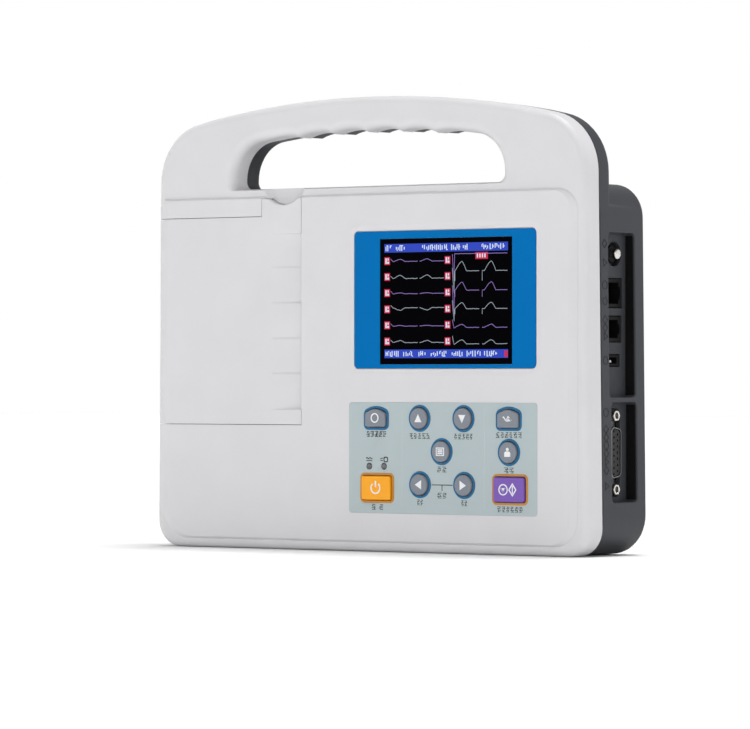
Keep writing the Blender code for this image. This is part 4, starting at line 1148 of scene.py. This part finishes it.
def icon(name):
    """Outlines of the sign on a key, about its middle, before scaling."""
    line = 0.42
    if name in ARROWS:
        return [ARROWS[name]]
    if name == "key_mode":
        return stroke(arc(1.5, 0, 342, 19), line, closed=True)
    if name == "key_back":
        waves = []
        for span in (range(-7, -1), range(2, 8)):
            waves += stroke([(0.26 * k, 0.55 * math.sin(k * 0.78)) for k in span], line)
        return waves + stroke([(-0.5, -0.9), (0.5, 0.9)], line)
    if name == "key_menu":
        bars = [rounded_box((-1.05, 1.05), around(v, 0.22), 0.05) for v in (0.62, 0.0, -0.62)]
        outside = rounded_box((-1.75, 1.75), (-1.45, 1.45), 0.2)
        return [outside, rounded_box((-1.4, 1.4), (-1.1, 1.1), 0.1)] + bars
    if name == "key_patient":
        low, high = (-1.5, 0.1), (0.35, 0.75)
        body = rounded([(-1.25, *low), (1.25, *low), (1.25, *high), (-1.25, *high)])
        return [circle((0.0, 1.05), 0.58, 24), body]
    if name == "key_power":
        bar = rounded_box(around(0.0, 0.27), (0.35, 2.5), 0.1)
        return stroke(arc(1.9, 130, 410, 28), 0.5) + [bar]
    sign = moved(stroke(arc(1.75, 0, 345, 23), line, closed=True), -2.2, 0.0)
    sign += stroke([(-3.2, 0.75), (-2.2, -0.95), (-1.2, 0.75)], 0.36, closed=True)
    sign += stroke([(1.7, -2.0), (3.15, 0.0), (1.7, 2.0), (0.25, 0.0)], line, closed=True)
    return sign + [rounded_box(around(1.7, 0.2), around(0.0, 1.3), 0.05)]


KEY_LOOKS = {
    "key_power": (KEY_ORANGE, "key_orange"),
    "key_start_stop": (KEY_PURPLE, "key_purple"),
}


def build_key(name):
    x, (top, back), z = room(name)
    radius = 0.0006
    cap = [(back, key_outline(name))]
    cap += fillet(top, radius, lambda inset: key_outline(name, -inset), -1.0, 5)
    dish = 0.00012 if name in WIDE_KEYS else 0.00020
    for share in (0.25, 0.5, 0.75):
        cap.append((top + dish * share, key_outline(name, -radius - 0.0022 * share)))
    piece = loft(name + "_cap", cap)
    fuse(piece, prism("flange", key_outline(name, KEY_FLANGE), (back - 0.0008, back)))
    colour, slot = KEY_LOOKS.get(name, (KEY_GREY, "key_grey"))
    dress(piece, colour, name, slot, name)
    loops = moved(icon(name), mid(x), mid(z), ICON_SCALE)
    sign = plate(name + "_sign", loops, (top - 0.00002, top + dish + 0.0001))
    dress(sign, PRINT_WHITE, name, slot)


# --- Rear shell -------------------------------------------------------------------------------


def pocket_cutter(depth, z):
    """Recess in the right side, whose rounded mouth follows the leaning side."""

    def wall(out):
        return lambda u, v: side_x(v) + out

    def outline(grow):
        return rounded_box(grown(depth, grow), grown(z, grow), 0.0020 + grow)

    rings = [(POCKET_FLOOR, outline(-LIP)), (POCKET_FLOOR + LIP, outline(0.0))]
    rim = 0.0006
    rings += [(wall(-short), outline(inset)) for short, inset in quarter(rim, 4)]
    return loft("pocket", rings + [(wall(0.003), outline(rim))], "X")


def build_rear_shell():
    """Deep box and handle back, with the printer's and the battery's room and every recess."""

    def handle_outline(inset):
        return shell_outline(0.0002 + inset, REAR_CORNER)

    halves = []
    for back, radius, outline in (
        (REAR_FACE, 0.0022, box_outline), (HANDLE_BACK, 0.0040, handle_outline)
    ):
        rings = [(REAR_START, outline(LIP)), (REAR_START + LIP, outline(0.0))]
        halves.append(loft("rear_shell_skin", rings + fillet(back, radius, outline, 1.0)))
    shell, handle = halves
    hollow = shell_outline(WALL + 0.0005, REAR_CORNER)
    handle_cavity = prism("handle_cavity", hollow, (0.0110, HANDLE_BACK - WALL))
    cut(handle_cavity, prism("tube", opening_outline(WALL, ridges=False), (0.0100, 0.0300)))
    box_cavity = prism("box_cavity", box_outline(WALL), (0.0110, REAR_FACE - WALL))
    rings = flared(HANDLE_BACK, 0.0024, lambda g: opening_outline(LIP + g, 0.0), 0.0110, 7, 0.0065)
    fuse(shell, handle)
    cut(shell, handle_cavity, box_cavity, loft("opening", rings))
    for node in SCREW_PLACES:
        fuse(shell, rod("tower", disc(node)[0], 0.0046, (0.0160, back_of(node) - 0.0005), "Y"))
    x, z = extent("battery_pack")
    fuse(shell, block("tray", grown(x, 0.0024), (0.0244, REAR_FACE - 0.0010), grown(z, 0.0024)))
    cut(shell, block("bay", grown(x, 0.0006), (0.0260, 0.0520), grown(z, 0.0006)))
    depth = grown((UPPER_POCKET[0][0], LOWER_POCKET[0][1]), 0.0021)
    z = grown((LOWER_POCKET[1][0], UPPER_POCKET[1][1]), 0.0021)
    fuse(shell, block("lining", (POCKET_FLOOR - 0.0022, 0.1243), depth, z))
    cut(shell, pocket_cutter(*UPPER_POCKET), pocket_cutter(*LOWER_POCKET))
    cut(shell, *floor_holes())
    cut(shell, *back_cutters())
    dress(shell, GREY, "root", "shell_grey", "rear_shell")


def back_of(node):
    """Depth of the face that a screw is sunk in."""
    return HANDLE_BACK if "handle" in node else REAR_FACE


def floor_holes():
    """Holes in the pocket floors for the connectors, and the one for the mains inlet."""

    def square_hole(node, x):
        _, depth, z = room(node)
        return block("square_hole", x, grown(depth, SEAM), grown(z, SEAM))

    earth_z = mid(room("earth_terminal")[2])
    patient_z = grown(room("patient_connector_shell")[2], 0.0004)

    def earth(grow):
        return circle((CONNECTOR_DEPTH, earth_z), 0.00555 + grow)

    def patient(grow):
        depth = around(CONNECTOR_DEPTH, 0.0047 + grow)
        return rounded_box(depth, grown(patient_z, grow), 0.0030 + grow)

    cutters = [square_hole(node, (0.1153, 0.1227)) for node in JACKS]
    for outline in (earth, patient):
        cutters.append(mouth("round_hole", outline, POCKET_FLOOR, 0.1150, LIP, "X"))
    return cutters + [square_hole("mains_inlet", (-0.135, -0.112))]


def back_cutters():
    """Holes and recesses that open to the back."""
    cutters = []
    for node in SCREW_PLACES:
        centre = disc(node)[0]
        seat = room(node)[1][0] + 0.0086

        def head(grow, centre=centre):
            return circle(centre, 0.0032 + grow, 40)

        cutters.append(mouth("head_hole", head, back_of(node), seat, 0.0004))
    x, z = disc("speaker")[0]
    for k in range(-2, 3):

        def slot(grow, k=k):
            half = 0.0098 - 0.0011 * k * k
            u = around(x + 0.0045 * k, 0.0011 + grow)
            return rounded_box(u, around(z, half + grow), 0.00105 + grow)

        cutters.append(mouth("slot", slot, REAR_FACE, 0.0440, LIP))
    for node in FEET:
        centre, radius = disc(node)
        span = (REAR_FACE - 0.0010, 0.0520)
        cutters.append(rod("foot_seat", centre, radius + SEAM, span, "Y", 48))
    lid_x, lid_z = extent("battery_cover")

    def rebate(grow):
        grow += 0.0004
        return rounded_box(grown(lid_x, grow), grown(lid_z, grow), 0.0026 + grow)

    return cutters + [mouth("rebate", rebate, REAR_FACE, REAR_FACE - 0.0012, LIP)]


def build_back_fittings():
    x, (front, back), z = room("battery_cover")

    def edge(inset):
        return rounded_box(grown(x, -inset), grown(z, -inset), 0.0026 - inset)

    cover = capped("battery_lid", edge, front, back, LIP)
    ribs = []
    for k in range(5):

        def rib(grow, k=k):
            u = around(mid(x), 0.0095 - 0.0012 * k + grow)
            v = around(z[1] - 0.0075 - 0.0022 * k, 0.0005 + grow)
            return rounded_box(u, v, 0.00045 + grow)

        ribs.append(mouth("rib", rib, back, back - 0.0005, 0.0002, steps=2))
    cut(cover, *ribs)
    dress(cover, GREY, "root", "shell_grey", "battery_cover")
    for node in SCREW_PLACES:
        build_screw(node)
    for node in FEET:
        build_foot(node)


def build_screw(node):
    (x, z), _ = disc(node)
    tip, head = room(node)[1]
    shank, core = 0.00135, 0.0010
    profile = [(0.0, 0.0), (0.0010, -0.00004), (0.0019, -0.00025), (0.0026, -0.0007),
               (0.0028, -0.0012), (0.0028, -0.0020), (shank, -0.0020)]
    for k in range(9):
        level = -0.0024 - 0.0007 * k
        profile += [(shank, level), (core, level - 0.00035)]
    profile += [(core, tip - head + 0.0010), (0.0, tip - head)]
    screw = turned(node + "_pan_head", profile, (x, head, z), "Y", 32)
    recess = (head - 0.0011, head + 0.001)
    arms = [(around(x, a), around(z, b)) for a, b in ((0.0015, 0.00032), (0.00032, 0.0015))]
    cut(screw, *[block("recess", u, recess, v) for u, v in arms])
    dress(screw, ZINC, "root", "steel", node)


def build_foot(node):
    (x, z), radius = disc(node)
    front, back = room(node)[1]
    tall = back - front
    profile = [(0.0, 0.0), (radius, 0.0), (radius, tall * 0.55)]
    profile += [(radius - inset, tall - short) for short, inset in quarter(0.0009, 5)]
    dish = tall - 0.0003
    profile += [(radius * 0.72, tall), (radius * 0.66, dish), (radius * 0.30, dish), (0.0, dish)]
    pad = turned(node + "_pad", profile, (x, front, z), "Y")
    dress(pad, FOOT_RUBBER, "root", "foot_rubber", node)


# --- Connectors -------------------------------------------------------------------------------


def build_jack(node, contacts, notches):
    """Socket with a stepped mouth and sprung contacts, or one light contact."""
    x, depth, z = room(node)
    wall = 0.0011 if node == "auxiliary_jack" else 0.0016

    def edge(inset):
        return rounded_box(grown(depth, -inset), grown(z, -inset), 0.0004)

    body = capped(node + "_body", edge, x[0], x[1], 0.00025, "X")
    front, back = depth[0] + wall, depth[1] - wall - 0.0006
    mouth_z = grown(z, -wall)
    end, tip = x[1] + 0.002, x[0] + 0.0032
    cut(body, block("mouth", (x[0] + 0.0030, end), (front, back), mouth_z))
    for half, reach in notches:
        span = (back - 0.001, back + reach)
        cut(body, block("notch", (x[0] + 0.0060, end), span, around(mid(z), half)))
    dress(body, SOCKET_BLACK, "root", "black_plastic", node)
    if not contacts:
        centre = (front + 0.0026, mid(z) - 0.0004)
        rings = []
        for place, wide, high in ((tip, 0.0008, 0.0006), (x[1] - 0.0010, 0.0006, 0.0005)):
            loop = rounded_box(around(centre[0], wide), around(centre[1], high), 0.0002)
            rings.append((place, loop))
        dress(loft("contact", rings, "X"), PRINT_WHITE, "root", "nickel")
        return
    path = [(tip, front + 0.0022), (x[0] + 0.0075, front + 0.0016), (x[1] - 0.0022, front + 0.0004)]
    loop = stroke(path, 0.00028)[0]
    pitch = (mouth_z[1] - mouth_z[0]) / (contacts + 1)
    wires = []
    for k in range(contacts):
        z = around(mouth_z[0] + pitch * (k + 1), 0.00014)
        wires.append(prism("wire", loop, z, "Z"))
    dress(joined(node + "_contacts", wires), GOLD, "root", "nickel")


def d_outline(grow):
    """D-shaped connector outline in (depth, z): its front side is the longer one."""
    middle = mid(room("patient_connector_shell")[2])
    radius = 0.0024 + grow
    front, back = around(CONNECTOR_DEPTH, 0.0040 + grow)
    low, high = around(middle, 0.0120 + grow)
    back_low, back_high = around(middle, 0.0106 + grow)
    return rounded([(front, low, radius), (back, back_low, radius),
                    (back, back_high, radius), (front, high, radius)])


def build_patient_connector():
    x, depth, z = room("patient_connector_shell")
    base = x[0]
    flange = rounded_box(depth, z, 0.0030)
    shell = prism("connector_flange", flange, (base, base + 0.0014), "X")
    flare = ((0.0005, 0.0006), (0.0016, 0.0005), (0.0022, 0.0))
    rings = [(base + height, d_outline(grow)) for height, grow in flare]
    rings += fillet(x[1] - CONNECTOR_SUNK, 0.0002, lambda i: d_outline(-i), 1.0, 3)
    fuse(shell, loft("rim", rings, "X"))
    cut(shell, prism("bore", d_outline(-0.0005), grown(x, 0.002), "X"))
    sockets = build_connector_insert(mid(z))
    for node in ("jackscrew_upper", "jackscrew_lower"):
        centre = (CONNECTOR_DEPTH, mid(room(node)[2]))
        cut(shell, rod("screw_hole", centre, 0.0016, (base - 0.001, base + 0.003), "X"))
        build_jackscrew(node, centre)
    dress(shell, TIN, "root", "nickel", "patient_connector_shell")
    dress(joined("connector_contacts", sockets), GOLD, "root", "nickel")


def build_connector_insert(middle):
    """Make the connector's body and return the sockets of its fifteen contacts."""
    back, front = room("patient_connector_insert")[0]
    front -= CONNECTOR_SUNK

    def edge(inset):
        return d_outline(-0.0008 - inset)

    face = capped("connector_insert", edge, back, front, 0.0002, "X")
    housing = (around(CONNECTOR_DEPTH, 0.0050), around(middle, 0.0128))
    fuse(face, block("housing", (back, 0.1166), *housing))
    pitch, row = 0.00276, 0.00142
    holes, sockets = [], []
    for column, count in ((-1, 8), (1, 7)):
        for k in range(count):
            centre = (CONNECTOR_DEPTH + column * row, middle + (k - (count - 1) / 2) * pitch)

            def hole(grow, centre=centre):
                return circle(centre, 0.00052 + grow, 20)

            holes.append(mouth("hole", hole, front, front - 0.004, 0.00025, "X", 2))
            tube = [circle(centre, 0.00050, 16), circle(centre, 0.00034, 16)]
            sockets.append(plate("socket", tube, (front - 0.0035, front - 0.0006), "X"))
    cut(face, joined("holes", holes))
    dress(face, BLACK, "root", "black_plastic", "patient_connector_insert")
    return sockets


def build_jackscrew(node, centre):
    base, end = room(node)[0]
    end -= CONNECTOR_SUNK
    start = end - 0.0045

    def hexagon(inset):
        return circle(centre, 0.00274 - inset, 6)

    def thread(grow):
        return circle(centre, 0.0013 + grow, 32)

    rings = [(start, hexagon(0.0002)), (start + 0.0002, hexagon(0.0))]
    body = loft(node + "_post", rings + fillet(end, 0.0005, hexagon, 1.0, 3), "X")
    cut(body, mouth("bore", thread, end, start + 0.001, 0.0004, "X"))
    fuse(body, rod("shank", centre, 0.0013, (base, start + 0.0003), "X"))
    dress(body, NICKEL, "root", "nickel", node)


def build_earth_terminal():
    x, _, z = room("earth_terminal")
    place = (x[0], CONNECTOR_DEPTH, mid(z))
    length = x[1] - x[0]
    tip = [(0.0, 0.0), (0.0016, 0.0), (0.0021, 0.0002), (0.0024, 0.0006), (0.0024, 0.0020),
           (0.0020, 0.0026), (0.0020, 0.0036), (0.0013, 0.0044)]
    profile = [(radius, length - short) for radius, short in tip] + [(0.0013, 0.0), (0.0, 0.0)]
    dress(turned("earth_pin", profile, place, "X"), NICKEL, "root", "nickel", "earth_terminal")
    collar = [(0.0020, 0.0), (0.0075, 0.0), (0.0075, 0.0012), (0.0068, 0.0018),
              (0.0040, 0.0018), (0.0036, 0.0030), (0.0020, 0.0030), (0.0020, 0.0)]
    dress(turned("earth_collar", collar, place, "X"), SOCKET_BLACK, "root", "black_plastic")


def build_painted_pocket_shades():
    """Painted shade: a black angle behind the connector panels that lines the rear wall and the
    panel's far edge, where each pocket lies in shade.
    """
    for name, (depth, z) in {"upper": UPPER_POCKET, "lower": LOWER_POCKET}.items():
        floor = (POCKET_FLOOR - 0.0001, POCKET_FLOOR + 0.00025)
        reach, face, back = depth[1] - SHADE_REACH, depth[1] - 0.00025, depth[1] + 0.0002
        rings = []
        for level in grown(z, -0.0011):
            rim = side_x(level) - 0.0010
            angle = [(floor[0], reach), (floor[1], reach), (floor[1], face), (rim, face),
                     (rim, back), (floor[0], back)]
            rings.append((level, angle))
        dress(loft(name + "_pocket_shade", rings, "Z"), SOCKET_BLACK, "root", "black_plastic")


# Beside which socket each raised sign stands, how far above its middle, and its sides.
SIDE_MARKS = (
    ("earth_terminal", 0.0043, 4),
    ("earth_terminal", -0.0042, 3),
    ("network_jack", 0.0034, 12),
    ("network_jack", -0.0038, 5),
    ("serial_jack", 0.0040, 4),
    ("serial_jack", 0.0004, 4),
    ("serial_jack", -0.0034, 3),
    ("auxiliary_jack", 0.0, 6),
    ("patient_connector_shell", 0.0182, 12),
    ("patient_connector_shell", 0.0106, 4),
    ("patient_connector_shell", 0.0070, 4),
    ("patient_connector_shell", 0.0034, 6),
    ("patient_connector_shell", -0.0002, 4),
    ("patient_connector_shell", -0.0040, 3),
    ("patient_connector_shell", -0.0078, 4),
    ("patient_connector_shell", -0.0148, 3),
)


def build_side_marks():
    """Plain raised signs on the strip in front of the pockets, in a darker copy of the grey
    plastic: painted shade that makes their relief show.
    """
    loops = []
    for node, above, sides in SIDE_MARKS:
        sign = circle((MARK_DEPTH, mid(room(node)[2]) + above), 0.0019, sides)
        loops += stroke(sign, 0.00036, closed=True)
    span = (lambda u, v: side_x(v) - 0.0003, lambda u, v: side_x(v) + 0.00010)
    dress(plate("side_marks", loops, span, "X"), GREY_RELIEF_PAINTED_SHADE, "root", "shell_grey")


def build_mains_inlet():
    (face, back), depth, z = room("mains_inlet")

    def edge(inset):
        return rounded_box(grown(depth, -inset), grown(z, -inset), 0.0008)

    def socket(grow):
        u, v = grown(depth, grow - 0.0018), grown(z, grow - 0.0019)
        chamfer, blunt = 0.0048, 0.0008
        return rounded([
            (u[0], v[0], 0.0010), (u[1] - chamfer, v[0], blunt), (u[1], v[0] + chamfer, blunt),
            (u[1], v[1] - chamfer, blunt), (u[1] - chamfer, v[1], blunt), (u[0], v[1], 0.0010),
        ])

    body = capped("inlet_body", edge, back, face, 0.0004, "X")
    cut(body, mouth("socket", socket, face, back - 0.0020, 0.0005, "X"))
    dress(body, BLACK, "root", "black_plastic", "mains_inlet")
    pins = []
    for behind, above in ((0.0022, 0.0070), (0.0022, -0.0070), (-0.0022, 0.0)):

        def blade(inset, u=mid(depth) + behind, v=mid(z) + above):
            return rounded_box(around(u, 0.0010 - inset), around(v, 0.0020 - inset), 0.0003)

        pins.append(capped("pin", blade, back - 0.0021, face + 0.0038, 0.0005, "X"))
    dress(joined("inlet_pins", pins), NICKEL, "root", "nickel")


# --- Printer and inner pieces -----------------------------------------------------------------


def build_printer():
    build_roller("chart_roll", "paper_roll", 0.0064, 96, PAPER, "roll", "paper")
    build_roller(
        "platen_cover", "platen_roller", 0.00225, 64, PLATEN_RUBBER, "platen", "platen_rubber"
    )
    dress_node("platen_shaft", GROUND_STEEL)


def build_roller(name, node, bore, steps, material, body, slot):
    """Hollow cylinder with rounded rims that fills its node's room."""
    x, depth, z = room(node)
    radius, length = (x[1] - x[0]) / 2, z[1] - z[0]
    rim = 0.0004
    profile = [(bore, 0.0), (radius - rim, 0.0), (radius, rim), (radius, length - rim),
               (radius - rim, length), (bore, length)]
    roller = turned(name, profile, (mid(x), mid(depth), z[0]), "Z", steps)
    open_ends(roller)
    dress(roller, material, body, slot, node)


def open_ends(piece):
    """Turn the flat caps of a turned ring into the wall of its bore."""
    bm = bmesh.new()
    bm.from_mesh(piece.data)
    caps = [face for face in bm.faces if len(face.verts) > 4]
    rims = [list(face.verts) for face in caps]
    for face in caps:
        bm.faces.remove(face)
    low, high = sorted(rims, key=lambda verts: verts[0].co.z)
    partner = {}
    for vert in high:
        partner[vert] = min(low, key=lambda other: (other.co.xy - vert.co.xy).length)
    for a, b in zip(high, high[1:] + high[:1]):
        bm.faces.new((a, b, partner[b], partner[a]))
    bmesh.ops.recalc_face_normals(bm, faces=bm.faces)
    bm.to_mesh(piece.data)
    bm.free()


def dress_node(node, material):
    """Give a CAD node a better material and keep its shape."""
    piece = NODES[node]
    piece.data.materials.clear()
    piece.data.materials.append(material)


INNER = {
    "door_hinge_pin": ZINC, "tear_bar": GROUND_STEEL, "lcd_module": ZINC, "keypad_board": BOARD,
    "main_board": BOARD, "amplifier_board": BOARD, "connector_board": BOARD, "power_module": BOARD,
    "battery_pack": BATTERY_WRAP, "speaker": BLACK, "display_ribbon": FLAT_CABLE,
    "print_head_ribbon": FLAT_CABLE, "idler_gear": ACETAL, "platen_gear": ACETAL,
    "motor_pinion": BRASS, "paper_spindle": BLACK, "printer_frame": FRAME_GREY,
    "print_head": CERAMIC, "stepper_motor": ZINC,
}

# --- Stage ------------------------------------------------------------------------------------

VIEW_AZIMUTH = math.radians(37.3)
VIEW_DISTANCE = 2.1863
VIEW_TARGET = Vector((0.0083, FRONT_Y, 0.0804))
VIEW_LENS = 228.0  # millimetres, as if from far away
VIEW_SHIFT = (0.0005, 0.0167)
LIGHT_TARGET = Vector((0.0, 0.0, 0.09))
SUN_POWER = 2.7
SUN_SPREAD = math.radians(28)
SUN_SIDE = Vector((0.05, 0.14, 1.0))
OVERHEAD_LEVEL = 0.15  # how bright the sky is overhead, where the horizon is 1
FLOOR_HALF = 6.0
FLOOR_GREY = (0.91, 0.91, 0.91)


def build_camera():
    camera = bpy.data.cameras.new("camera")
    camera.lens = VIEW_LENS
    camera.shift_x, camera.shift_y = VIEW_SHIFT
    camera.clip_end = 50.0
    holder = link("camera", camera)
    away = Vector((math.sin(VIEW_AZIMUTH), -math.cos(VIEW_AZIMUTH), 0.0))
    holder.location = VIEW_TARGET + away * VIEW_DISTANCE
    holder.rotation_euler = (math.pi / 2, 0.0, VIEW_AZIMUTH)
    bpy.context.scene.camera = holder


def area_light(name, place, size, power):
    light = bpy.data.lights.new(name, "AREA")
    light.shape = "SQUARE"
    light.size = size
    light.energy = power
    holder = link(name, light)
    holder.location = place
    holder.rotation_euler = (LIGHT_TARGET - Vector(place)).to_track_quat("-Z", "Y").to_euler()


def sky_light(world):
    """White at eye level and dimmer overhead, so that rounded edges show."""
    world.use_nodes = True
    tree = world.node_tree
    background = tree.nodes["Background"]
    place = tree.nodes.new("ShaderNodeTexCoord")
    split = tree.nodes.new("ShaderNodeSeparateXYZ")
    ramp = tree.nodes.new("ShaderNodeValToRGB")
    ramp.color_ramp.interpolation = "EASE"
    for stop, position, level in zip(ramp.color_ramp.elements, (0.38, 0.60), (1.0, OVERHEAD_LEVEL)):
        stop.position = position
        stop.color = (level, level, level, 1.0)
    tree.links.new(place.outputs["Generated"], split.inputs["Vector"])
    tree.links.new(split.outputs["Z"], ramp.inputs["Fac"])
    tree.links.new(ramp.outputs["Color"], background.inputs["Color"])
    background.inputs["Strength"].default_value = 1.0


def build_stage():
    loop = rectangle(around(0.0, FLOOR_HALF), around(-FRONT_Y, FLOOR_HALF))
    floor = prism("floor", loop, (-0.02, -0.0002), "Z")
    material, tree, shader = new_shader("floor_paper", FLOOR_GREY, 0.9, specular=0.0)
    fibre = texture(tree, "ShaderNodeTexNoise", 60.0, Detail=4.0)
    tint(tree, shader, fibre.outputs["Fac"], shade(FLOOR_GREY, 0.9945), shade(FLOOR_GREY, 1.0055))
    floor.data.materials.append(material)
    floor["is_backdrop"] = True
    world = bpy.data.worlds.new("studio")
    bpy.context.scene.world = world
    sky_light(world)
    sun = bpy.data.lights.new("softbox", "SUN")
    sun.energy = SUN_POWER
    sun.angle = SUN_SPREAD
    holder = link("softbox", sun)
    holder.rotation_euler = SUN_SIDE.to_track_quat("Z", "Y").to_euler()
    area_light("key_left", (-0.90, -1.90, 0.16), 1.7, 7.6)
    area_light("key_right", (1.20, -1.70, 0.22), 1.7, 6.6)
    bpy.context.scene.view_settings.view_transform = "Standard"


# --- Make everything --------------------------------------------------------------------------

build_camera()
build_stage()
build_front_shell()
build_paper_door()
build_display()
build_keypad()
build_rear_shell()
build_back_fittings()
build_jack("network_jack", 8, [(0.0030, 0.0010), (0.0017, 0.0014)])
build_jack("serial_jack", 6, [(0.0024, 0.0010), (0.0014, 0.0014)])
build_jack("auxiliary_jack", 0, [])
build_patient_connector()
build_earth_terminal()
build_painted_pocket_shades()
build_side_marks()
build_mains_inlet()
build_printer()
for node, material in INNER.items():
    dress_node(node, material)

bpy.context.view_layer.update()
[[list(corner) for corner in box] for box in (CAD_BOX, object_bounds())]
